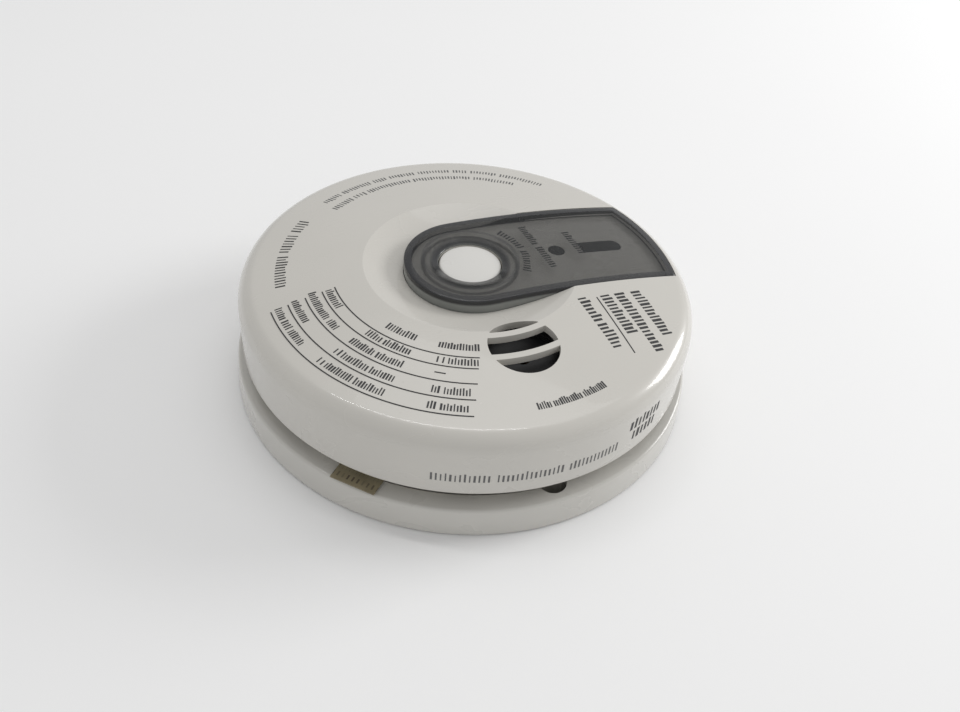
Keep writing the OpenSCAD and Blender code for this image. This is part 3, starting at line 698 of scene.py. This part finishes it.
# %% Give each internal node its finish
dress_as = {
    "housing": ["rear_housing"],
    "clear": ["alarm_light_pipe", "status_light_pipe"],
    "board": ["main_board"],
    "black": ["test_switch_body", "sounder_housing", "sounder_cap", "tamper_switch"],
    "switch": ["test_switch_plunger"],
    "red": ["alarm_led"],
    "green": ["status_led"],
    "foam": ["sounder_gasket", "co_cell_gasket"],
    "brass": ["piezo_disc"],
    "ceramic": ["piezo_ceramic"],
    "tin": ["sounder_pins", "co_cell_pins"],
    "can": ["co_cell_can", "crystal", "radio_shield"],
    "cap": ["co_cell_cap"],
    "chip": ["microcontroller", "horn_driver", "chip_resistors"],
    "ferrite": ["horn_transformer"],
    "sleeve": ["storage_capacitor"],
    "tan": ["chip_capacitors"],
    "copper": ["wire_antenna"],
    "tamper": ["tamper_plunger"],
    "spring": ["tamper_spring", "battery_spring"],
    "battery": ["battery"],
    "contact": ["battery_plus_contact", "battery_minus_plate"],
    "film": ["battery_pull_tab"],
    "screw": ["housing_screws", "board_screws"],
    "label": ["rating_label"],
}
for look, nodes in dress_as.items():
    for node in nodes:
        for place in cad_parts[node].material_slots:
            place.material = finish[look]
print("dressed", sum(len(nodes) for nodes in dress_as.values()), "nodes")

# %% Hand a finished piece to its body
def hand_over(piece, body, look, stands_for=None, crease=32):
    """Smooth the piece, keep edges sharper than the crease angle, and let it ride on a body."""
    face_outwards(piece)
    mesh = piece.data
    mesh.materials.clear()
    mesh.materials.append(look)
    mesh.polygons.foreach_set("material_index", [0] * len(mesh.polygons))
    mesh.polygons.foreach_set("use_smooth", [True] * len(mesh.polygons))
    mesh.set_sharp_from_angle(angle=math.radians(crease))
    mesh.update()
    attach(piece, body)
    if stands_for:
        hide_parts(stands_for)
    print(piece.name, "has", len(mesh.polygons), "faces and rides on", body)


# %% [markdown]
# ## Front cover
# The cover is one moulding: a turned shell with a dished ring, a pale seat under the lens, two
# light windows and the horn opening. The lathe makes the shell, and Booleans make the rest,
# because those cuts don't follow the turning. The dish's lip is only slightly rounded, as on the
# real face.

# %% Section of the cover
def cover_section():
    outer = [(COVER_R, COVER_BOTTOM, 0.45)]
    sweep = math.atan2(SHOULDER_Z - DOME_Z, SHOULDER_X)
    for a in span(0, sweep, 14):
        outer.append((SHOULDER_X + SHOULDER_R * math.cos(a),
                      SHOULDER_Z + SHOULDER_R * math.sin(a), 0))
    outer += [(r, dome(r), 0) for r in span(SHOULDER_START - 1, DISH_R + 1, 26)]
    outer.append((DISH_R, DISH_RIM, 0.3))
    outer += [(r, dish(r), 0) for r in span(DISH_R - 1, LENS_R, 12)]
    outer += [(8.6, DISH_FLOOR, 0), (8.6, CORE_BOTTOM, 0)]
    under = []
    for r in span(9.6, SHOULDER_X - 1, 60):
        under.append((r, min(dome(r) - WALL, max(CORE_BOTTOM, dish(r, WALL))), 0))
    for a in span(sweep, 0, 8):
        under.append((SHOULDER_X + (SHOULDER_R - WALL) * math.cos(a),
                      SHOULDER_Z + (SHOULDER_R - WALL) * math.sin(a), 0))
    return rounded(outer + under + [(COVER_R - WALL, COVER_BOTTOM, 0.3)])


def lens_outline(g, n=180):
    """Outline of the lens grown by g: a half circle, two straight sides and an outer arc."""
    half, end = LENS_R + g, LENS_END + g
    top = math.sqrt(end ** 2 - half ** 2)
    start = math.atan2(top, half)
    bend = [math.pi + math.pi * i / n for i in range(n + 1)]
    points = [(half * math.cos(a), half * math.sin(a)) for a in bend]
    points += [(half, y) for y in span(0, top, n // 2)[1:-1]]
    points += [(end * math.cos(a), end * math.sin(a))
               for a in span(start, math.pi - start, n // 2)]
    points += [(-half, y) for y in span(top, 0, n // 2)[1:-1]]
    return points


cover = turn("cover_shell", cover_section(), 288)
print("cover section turned into", len(cover.data.polygons), "faces")

# %% Seat and pocket for the lens
LENS_T = 1.8
seat_edge = prism(lens_outline(1.6), SHOULDER_Z - 2, FACE_TOP + 2)
combine(seat_edge, dome_block(LENS_T + 0.1, 20), "INTERSECT")
combine(seat_edge, dome_block(LENS_T + WALL, 15, 60.0), "DIFFERENCE")
combine(seat_edge, prism(circle(DISH_R + 0.4), 10, 45), "DIFFERENCE")
combine(cover, seat_edge, "UNION")
core = prism(lens_outline(-1.75), CORE_BOTTOM, FACE_TOP + 2)
combine(core, dome_block(LENS_T + 0.1, 20), "INTERSECT")
combine(core, prism(circle(DISH_R + 2), 10, 45), "INTERSECT")
combine(cover, core, "UNION")
pocket = prism(lens_outline(0.12), 20, FACE_TOP + 2)
combine(pocket, dome_block(LENS_T + 0.1, 15), "DIFFERENCE")
combine(cover, pocket, "DIFFERENCE")
skirt_groove = prism(lens_outline(0.12), SKIRT_BOTTOM - 0.1, FACE_TOP + 2)
combine(skirt_groove, prism(lens_outline(-1.75), 20, FACE_TOP + 3), "DIFFERENCE")
combine(skirt_groove, prism(circle(DISH_R + 0.5), 10, 45), "INTERSECT")
combine(cover, skirt_groove, "DIFFERENCE")
print("cover with its seat has", len(cover.data.polygons), "faces")

# %% [markdown]
# ### Openings
# The button's bore, the round window, the long window with its one round end, and the horn. The
# horn opening is a plain circle crossed by two bars. The bars are parts of rings around the
# middle of the face, so their cutter is a disc with two rings taken out of it.

# %% Cut the openings
HORN_AT, HORN_R = 34.2, 9.0
LOUVRE_W, LOUVRE_PITCH = 1.7, 7.1
WINDOW_AT, WINDOW_R = 26.1, 2.4
SLOT_AT, SLOT_L, SLOT_R = 33.7, 13.3, 2.5
combine(cover, prism(circle(8.6, n=144), 20, 45), "DIFFERENCE")
combine(cover, prism(circle(WINDOW_R, 0, WINDOW_AT, 64), 20, 45), "DIFFERENCE")
slot_end = SLOT_AT + SLOT_L - SLOT_R
window = [(-SLOT_R, SLOT_AT), (SLOT_R, SLOT_AT)]
window += [(SLOT_R * math.cos(a), slot_end + SLOT_R * math.sin(a)) for a in span(0, math.pi, 24)]
combine(cover, prism(window, 20, 45), "DIFFERENCE")
horn = prism(circle(HORN_R, HORN_AT, 0, 128), 20, 45)
for i in range(2):
    inner = DISH_R + 0.4 + i * LOUVRE_PITCH
    outer = inner + LOUVRE_W
    bar = turn("tool", [(inner, 10), (outer, 10), (outer, 50), (inner, 50)], 288)
    combine(horn, bar, "DIFFERENCE")
combine(cover, horn, "DIFFERENCE")
hand_over(cover, "detector", finish["cover"], "front_cover")

# %% [markdown]
# ## Lens
# The lens is a ring around the button that runs out to the rim, so its rings of points can run
# round the outline and the whole piece is one loft. That gives clean quads, a rounded edge all
# round, and a skirt that stands in the dish but stops where the lens meets the dome.

# %% Loft the lens
def lens_rings():
    edge = lens_outline(0)
    n = len(edge)
    inward = lens_outline(-1.6)

    def ring(g, height):
        """A ring g outside the outline, at a height that depends on its point of the outline."""
        return [(x, y, height(x, y, i)) for i, (x, y) in enumerate(lens_outline(g))]

    def top(x, y):
        return face(math.hypot(x, y))

    def foot(i):
        r = math.hypot(*edge[i])
        return SKIRT_BOTTOM if r < DISH_R + 0.3 else face(r) - LENS_T

    lower = 181
    even = [math.pi * (1 + i / (lower - 1)) for i in range(lower)]
    even += [math.pi * (2 + (i + 1) / (n - lower + 1)) for i in range(n - lower)]

    def around(r, height):
        """A round ring with evenly spread points, half of them on the dish side."""
        return [(r * math.cos(a), r * math.sin(a), height) for a in even]

    def between(first, last, steps, drop):
        """Rings on the face, or drop below it, that lead from one outline to another."""
        made = []
        for t in span(0, 1, steps):
            flat = [(a[0] * (1 - t) + b[0] * t, a[1] * (1 - t) + b[1] * t)
                    for a, b in zip(first, last)]
            made.append([(x, y, top(x, y) - drop) for x, y in flat])
        return made

    soft = 0.35
    rings = [ring(0, lambda x, y, i: foot(i))]
    rings.append(ring(0, lambda x, y, i: (foot(i) + top(x, y) - soft) / 2))
    for a in span(0, math.pi / 2, 4):
        g = -soft * (1 - math.cos(a))
        low = soft * (1 - math.sin(a))
        rings.append(ring(g, lambda x, y, i, low=low: top(x, y) - low))
    rings += between(lens_outline(-soft), around(11.95, 0), 10, 0)[1:]
    rings.append(around(11.7, face(11.7) - 0.03))
    rings.append(around(11.55, face(11.7) - 0.16))
    rings.append(around(8.78, FACE_TOP - 1.32))
    rings.append(around(8.6, FACE_TOP - 1.5))
    rings += between(around(8.6, 0), inward, 9, LENS_T)
    rings.append([(x, y, foot(i)) for i, (x, y) in enumerate(inward)])
    return rings


lens = loft("status_window", lens_rings())
hand_over(lens, "detector", finish["lens"], "status_lens")

# %% [markdown]
# ## Test button
# The button is a shallow white cap with a hardly crowned top. It is turned on the same lathe,
# hollow underneath, with the stem that reaches the switch on the board.

# %% Turn the button
BUTTON_R, CROWN = 8.3, 0.35
top = [(r, BUTTON_TOP - CROWN * (r / BUTTON_R) ** 2, 0) for r in span(0, BUTTON_R - 1.2, 8)]
button_section = rounded(top + [
    (BUTTON_R, BUTTON_TOP - CROWN, 0.55), (BUTTON_R, CORE_BOTTOM - 0.15, 0.1),
    (BUTTON_R + 1.3, CORE_BOTTOM - 0.15, 0.1), (BUTTON_R + 1.3, CORE_BOTTOM - 1.25, 0.1),
    (BUTTON_R - 1.6, CORE_BOTTOM - 1.25, 0.1), (BUTTON_R - 1.6, BUTTON_TOP - 2, 0.3),
    (2.4, BUTTON_TOP - 2, 0.3), (2.4, BUTTON_STEM, 0.2), (0, BUTTON_STEM, 0),
], closed=False)
button = turn("push_button", button_section, 160)
hand_over(button, "test_button", finish["button"], "test_button")

# %% [markdown]
# ## Wall bracket
# The bracket is turned too: a flat plate with a hooked rim. Its notches let the three bayonet
# tabs of the drum through, its two slots take the wall screws, and a round hole in the rim shows
# where a screwdriver can free it.

# %% Turn and cut the bracket
PLATE_T = 2.0
NECK_R = COVER_R - 4
rim_under = RIM_TOP - 1.6
bracket_section = rounded([
    (0, 0, 0), (BRACKET_R, 0, 0.5), (BRACKET_R - 0.6, RIM_TOP - 0.35, 1.0),
    (NECK_R + 0.6, RIM_TOP, 0.5), (NECK_R + 0.6, rim_under, 0.2),
    (BRACKET_R - 2.2, rim_under - 0.4, 0.4), (BRACKET_R - 1.8, PLATE_T, 0.5), (0, PLATE_T, 0),
], closed=False)
bracket = turn("wall_bracket", bracket_section, 288)
TWIST = 20
for a in (100, 220, 340):
    block = arc_outline(NECK_R + 0.8, BRACKET_R - 1.6, a - 4.1, 3)
    combine(bracket, prism(block, PLATE_T - 0.5, rim_under + 0.2), "UNION")
    notch = arc_outline(NECK_R, NECK_R + 1.9, a + TWIST, 5.8)
    combine(bracket, prism(notch, rim_under - 1, RIM_TOP + 2), "DIFFERENCE")
for a in (60, 180, 300):
    rib = prism([(7, -0.8), (17.9, -0.8), (17.9, 0.8), (7, 0.8)], PLATE_T - 0.5, PLATE_T + 0.9)
    rib.data.transform(Matrix.Rotation(math.radians(a), 4, "Z"))
    combine(bracket, rib, "UNION")
SCREW_AT, SCREW_R, SCREW_RUN = 30, 2.25, 3.75
for side in (-1, 1):
    screw_slot = []
    for end in (1, -1):
        middle = side * SCREW_AT + end * SCREW_RUN
        screw_slot += [(middle + end * SCREW_R * math.cos(a), end * SCREW_R * math.sin(a))
                       for a in span(-math.pi / 2, math.pi / 2, 20)]
    combine(bracket, prism(screw_slot, -1, 5), "DIFFERENCE")
combine(bracket, prism(circle(3.7, NECK_R - 0.3, 0, 64), PLATE_T, RIM_TOP + 2), "DIFFERENCE")
print("bracket has", len(bracket.data.polygons), "faces")

# %% Ramp under the tamper plunger
tamper_low, tamper_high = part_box("tamper_plunger")
tamper_x = (tamper_low.x + tamper_high.x) / 2 / MM
tamper_y = (tamper_low.y + tamper_high.y) / 2 / MM
tamper_r = math.hypot(tamper_x, tamper_y)
half_turn = math.radians(TWIST / 2)
run = 2 * tamper_r * math.sin(half_turn)
ramp = prism([(0, PLATE_T + 0.01), (run + 2.4, PLATE_T + 0.01), (run + 2.4, 0.7), (run, 0.7)],
             -2.4, 2.4)
stand = Matrix.Rotation(math.radians(90), 4, "Z") @ Matrix.Rotation(math.radians(90), 4, "X")
place = Matrix.Translation((tamper_r * math.cos(half_turn) * MM, -run / 2 * MM, 0))
turned = Matrix.Rotation(math.atan2(tamper_y, tamper_x) + half_turn, 4, "Z")
ramp.data.transform(turned @ place @ stand)
combine(bracket, ramp, "DIFFERENCE")
hand_over(bracket, "bracket", finish["bracket"], "mounting_bracket")

# %% [markdown]
# ## Printed marks
# The face carries printed tables and notes. Their wording belongs to the maker, so only their
# layout is kept: rows of upright strokes that stand for words, and thin rules between them. A
# Geometry Nodes tree sets the strokes along paths. The paths are drawn on the surface together
# with the surface's direction, so that each stroke lies flat wherever it is.

# %% Tree that sets strokes along paths
def build_strokes():
    tree, given, result = new_group("stroke_rows", "GeometryNodeTree", [
        ("INPUT", "Paths", "Geometry", None),
        ("INPUT", "Pitch", "Float", 0.001),
        ("INPUT", "Width", "Float", 0.0004),
        ("INPUT", "Height", "Float", 0.002),
        ("INPUT", "Thickness", "Float", 0.00006),
        ("INPUT", "Seed", "Int", 1),
        ("INPUT", "Finish", "Material", None),
        ("OUTPUT", "Marks", "Geometry", None),
    ])
    line = put(tree, "GeometryNodeMeshToCurve", None, {0: given["Paths"]})
    even = put(tree, "GeometryNodeResampleCurve", {"mode": "LENGTH"},
               {"Curve": line.outputs[0], "Length": given["Pitch"]})
    surface = put(tree, "GeometryNodeInputNamedAttribute", {"data_type": "FLOAT_VECTOR"},
                  {"Name": "surface"})
    along = put(tree, "GeometryNodeInputTangent")
    aim = put(tree, "FunctionNodeAxesToRotation", {"primary_axis": "Z", "secondary_axis": "X"},
              {0: surface.outputs[0], 1: along.outputs[0]})
    size = put(tree, "ShaderNodeCombineXYZ", None,
               {"X": given["Width"], "Y": given["Height"], "Z": given["Thickness"]})
    bar = put(tree, "GeometryNodeMeshCube", None, {"Size": size.outputs[0]})
    lift = put(tree, "ShaderNodeCombineXYZ", None,
               {"Y": sum_of(tree, "MULTIPLY", given["Height"], 0.5)})
    stood = put(tree, "GeometryNodeTransform", None,
                {"Geometry": bar.outputs[0], "Translation": lift.outputs[0]})
    tall = put(tree, "FunctionNodeRandomValue", {"data_type": "FLOAT"},
               {2: 0.7, 3: 1.0, "Seed": given["Seed"]})
    wide = put(tree, "FunctionNodeRandomValue", {"data_type": "FLOAT"},
               {2: 0.75, 3: 1.3, "Seed": 7})
    scale = put(tree, "ShaderNodeCombineXYZ", None,
                {"X": wide.outputs[1], "Y": tall.outputs[1], "Z": 1.0})
    rows = put(tree, "GeometryNodeInstanceOnPoints", None, {
        "Points": even.outputs[0], "Instance": stood.outputs[0],
        "Rotation": aim.outputs[0], "Scale": scale.outputs[0]})
    return dress(tree, rows.outputs[0], given, result)


def build_rules():
    tree, given, result = new_group("ruled_lines", "GeometryNodeTree", [
        ("INPUT", "Paths", "Geometry", None),
        ("INPUT", "Width", "Float", 0.0004),
        ("INPUT", "Thickness", "Float", 0.00006),
        ("INPUT", "Finish", "Material", None),
        ("OUTPUT", "Lines", "Geometry", None),
    ])
    line = put(tree, "GeometryNodeMeshToCurve", None, {0: given["Paths"]})
    upright = put(tree, "GeometryNodeSetCurveNormal", {"mode": "Z_UP"}, {0: line.outputs[0]})
    section = put(tree, "GeometryNodeCurvePrimitiveQuadrilateral", None,
                  {"Width": given["Width"], "Height": given["Thickness"]})
    solid = put(tree, "GeometryNodeCurveToMesh", None, {
        "Curve": upright.outputs[0], "Profile Curve": section.outputs[0], "Fill Caps": True})
    return dress(tree, solid.outputs[0], given, result)


stroke_rows, ruled_lines = build_strokes(), build_rules()
print("mark trees have", len(stroke_rows.nodes), "and", len(ruled_lines.nodes), "nodes")

# %% Ink
def ink(name, colour):
    """Pad-printed ink: almost flat, a little uneven where it is thin."""
    return plastic(name, colour, 0.5, 1.35, grain=0.2, grain_scale=3500.0, clouds=900.0)


dark_ink = ink("dark_ink", (0.022, 0.022, 0.023))
soft_ink = ink("soft_ink", (0.1, 0.1, 0.1))
lens_ink = ink("lens_ink", (0.008, 0.009, 0.01))
print("three inks ready")

# %% Paths on the face
def on_face(x, y):
    return (x, y, face(math.hypot(x, y)) + 0.005)


def arc_path(r, start, end):
    """Points along an arc on the face, anticlockwise, and the direction of the surface there."""
    n = max(2, int(abs(end - start) * r / 50))
    points = [on_face(r * math.cos(math.radians(a)), r * math.sin(math.radians(a)))
              for a in span(start, end, n)]
    return points, [(Vector(p) - Vector((0, 0, DOME_Z))).normalized() for p in points]


def line_path(x, y, length, tilt=0.0):
    """Points along a straight line on the face."""
    lean = math.radians(tilt)
    points = [on_face(x + s * math.cos(lean), y + s * math.sin(lean))
              for s in span(0, length, max(2, int(length)))]
    return points, [(Vector(p) - Vector((0, 0, DOME_Z))).normalized() for p in points]


def words_on_arc(r, start, end, words):
    """An arc split into words of the given numbers of letters, with a gap between two words."""
    step = (end - start) / (sum(words) + len(words) - 1)
    paths, at = [], start
    for letters in words:
        paths.append(arc_path(r, at, at + letters * step))
        at += (letters + 1) * step
    return paths


def mark_piece(name, paths, tree, values):
    """One piece from many paths, made by a tree."""
    points, edges, surface = [], [], []
    for path, direction in paths:
        first = len(points)
        points += path
        surface += direction
        edges += [(first + i, first + i + 1) for i in range(len(path) - 1)]
    piece = make_piece(name, points, edges=edges)
    store = piece.data.attributes.new("surface", "FLOAT_VECTOR", "POINT")
    store.data.foreach_set("vector", [c for d in surface for c in d])
    grow(piece, tree, values)
    spare = piece.data.attributes.get("surface")
    if spare:
        piece.data.attributes.remove(spare)
    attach(piece, "detector")
    print(name, "has", len(piece.data.polygons), "faces")


def print_words(name, paths, pitch, width, height, seed, finish):
    """Rows of strokes along paths, sizes in millimetres."""
    mark_piece(name, paths, stroke_rows, {
        "Pitch": pitch * MM, "Width": width * MM, "Height": height * MM,
        "Seed": seed, "Finish": finish})


# %% [markdown]
# ### The table of signals
# Five concentric rules, with three columns between them: a name, what the light does and
# what the horn does. The column of lights moves to the left from row to row, as on the real face.

# %% Table of signals
RULE_RADII = (37.0, 40.4, 44.9, 49.5, 54.0)
rules = [arc_path(r, -92 + i * 0.7, -19 - i * 0.6) for i, r in enumerate(RULE_RADII)]
rules.append(arc_path(42.6, -33.8, -30.2))
rules.append(line_path(23.2, 26.1, 20.3, 0.5))
mark_piece("printed_rules", rules, ruled_lines, {"Width": 0.00034, "Finish": dark_ink})
table = words_on_arc(34.9, -58.8, -45.5, [6]) + words_on_arc(34.9, -35, -19.2, [7])
rows = [
    (39.6, -91, -80.5, [5], -62.5, -44.5, [3, 5], -34, -19.8, [1, 5]),
    (43.9, -92, -72, [7, 2], -64, -44.5, [5, 5], None, None, None),
    (48.5, -90.5, -80.5, [5], -64.5, -44.5, [1, 6, 5], -33, -22.5, [1, 4]),
    (53.0, -89.5, -73.5, [3, 2, 4], -65.5, -45, [1, 6, 6], -33, -23, [1, 4]),
]
for r, a, b, name, c, d, light, e, f, sound in rows:
    table += words_on_arc(r, a, b, name) + words_on_arc(r, c, d, light)
    if sound:
        table += words_on_arc(r, e, f, sound)
print_words("printed_table", table, 0.74, 0.4, 2.2, 3, dark_ink)

# %% [markdown]
# ### Notes, title and side marks
# The notes are thinner and larger, and the title block by the lens is bold. On the drum's
# wall there is a pale note and a bold two-row date field. They are drawn the same way, with the
# surface direction pointing away from the axis.

# %% Notes and title
note = words_on_arc(51.4, -133.5, -99, [2, 3, 5])
print_words("printed_note", note, 1.12, 0.42, 3.4, 5, dark_ink)
advice = words_on_arc(51.6, 132, 213, [7, 4, 2, 5, 4, 2, 5, 3])
advice += words_on_arc(46.8, 141, 215, [7, 10, 8, 2, 4])
print_words("printed_advice", advice, 0.88, 0.38, 2.2, 8, soft_ink)
title = [line_path(23.2, y, length, 2) for y, length in ((36.6, 15.8), (31.5, 20.6), (27.2, 13.6))]
title += [line_path(23.0, 20.6, 8.2, 3), line_path(33.0, 21.2, 7.6, 3)]
print_words("printed_title", title, 1.22, 0.68, 3.3, 11, dark_ink)
manual = words_on_arc(53.4, -5, 15, [3, 7, 6])
print_words("printed_manual", manual, 0.6, 0.36, 2.1, 13, dark_ink)

# %% Marks on the lens and on the wall
def wall_words(z, start, end, words):
    """Words around the drum's wall."""
    paths = []
    for points, direction in words_on_arc(COVER_R + 0.005, start, end, words):
        paths.append(([(x, y, z) for x, y, _ in points],
                      [Vector((x, y, 0)).normalized() for x, y, _ in points]))
    return paths


lens_marks = [(p[::-1], d[::-1]) for p, d in words_on_arc(14.2, 54, 126, [4, 4])]
lens_marks += [line_path(-10, 18.6, 8.2, 3), line_path(0.4, 19.1, 8.6, 3)]
lens_marks.append(line_path(-5.2, 30.0, 9.8, 3))
print_words("printed_lens_marks", lens_marks, 0.9, 0.45, 2.4, 17, lens_ink)
wall_note = wall_words(17.0, -30, 14, [6, 7, 6])
print_words("printed_wall_note", wall_note, 1.08, 0.42, 2.9, 19, soft_ink)
date = wall_words(21.4, 18, 28, [5]) + wall_words(17.4, 19.5, 27, [4])
print_words("printed_wall_date", date, 1.35, 0.75, 3.6, 23, dark_ink)

# %% [markdown]
# ## Camera
# The camera looks down at the alarm from the side of the horn. It is placed by three directions:
# to the right of the picture, up the picture, and back towards the camera. The lens is that of a
# telephone held close, so the far side of the drum looks a little smaller.

# %% Place the camera
camera = bpy.data.objects.new("camera", bpy.data.cameras.new("camera"))
bpy.context.scene.collection.objects.link(camera)
camera.data.sensor_width, camera.data.lens, camera.data.clip_start = 36, 33.75, 0.005
right = Vector((0.3899, 0.9177, 0.0767))
up = Vector((-0.6407, 0.2105, 0.7383))
back = right.cross(up).normalized()
up = back.cross(right)
stand = Matrix((right, up, back)).transposed().to_4x4()
stand.translation = Vector((0.1762, -0.0840, 0.1775))
camera.matrix_world = stand
bpy.context.scene.camera = camera
print("camera at", [round(c, 3) for c in camera.location])

# %% [markdown]
# ## Floor and light
# A pale floor and a bright even world give the soft light of a workshop table. One large lamp
# from above gives the long highlight on the shoulder, and a smaller one opens the shadow side.

# %% Floor
floor = make_piece("floor", [(-2500, -2500, -0.3), (2500, -2500, -0.3), (2500, 2500, -0.3),
                             (-2500, 2500, -0.3)], faces=[(0, 1, 2, 3)])
floor_paint, floor_tree, floor_shader = start_material("pale_floor", Roughness=0.75)
haze = moulded_base(floor_tree, (0.95,) * 3, (0.93,) * 3, 0.75, 0.08, 3, 800, 0.02)
wire(floor_tree, floor_shader.inputs, {"Base Color": haze["Colour"]})
floor.data.materials.append(floor_paint)
print("floor laid")

# %% Lights
world = bpy.data.worlds.new("soft_sky")
bpy.context.scene.world = world
world.use_nodes = True
SKY_LIGHT, SKY_SEEN = 0.54, 0.94
sky_tree = world.node_tree
sky = sky_tree.nodes["Background"].inputs
sky["Color"].default_value = (1, 1, 1, 1)
seen = put(sky_tree, "ShaderNodeLightPath").outputs["Is Camera Ray"]
wire(sky_tree, sky, {"Strength": remap(sky_tree, seen, 0, 1, SKY_LIGHT, SKY_SEEN)})
bpy.context.scene.view_settings.view_transform = "Standard"


def lamp(name, place, target, size, power):
    """A rectangular area light that faces a target, sizes in metres."""
    light = bpy.data.lights.new(name, "AREA")
    light.shape = "RECTANGLE"
    light.size, light.size_y = size
    light.energy = power
    thing = bpy.data.objects.new(name, light)
    bpy.context.scene.collection.objects.link(thing)
    thing.location = place
    aim = Vector(target) - Vector(place)
    thing.rotation_euler = aim.to_track_quat("-Z", "Y").to_euler()


lamp("ceiling_panel", (-0.25, 0.25, 0.95), (0, 0, 0), (0.8, 0.4), 1.0)
lamp("tube_light", (-0.19, -0.035, 1.0), (-0.108, -0.092, 0), (0.74, 0.04), 1.2)
lamp("window", (0.05, 1.0, 0.45), (0, 0, 0.03), (0.5, 0.35), 5)
print("lights placed")
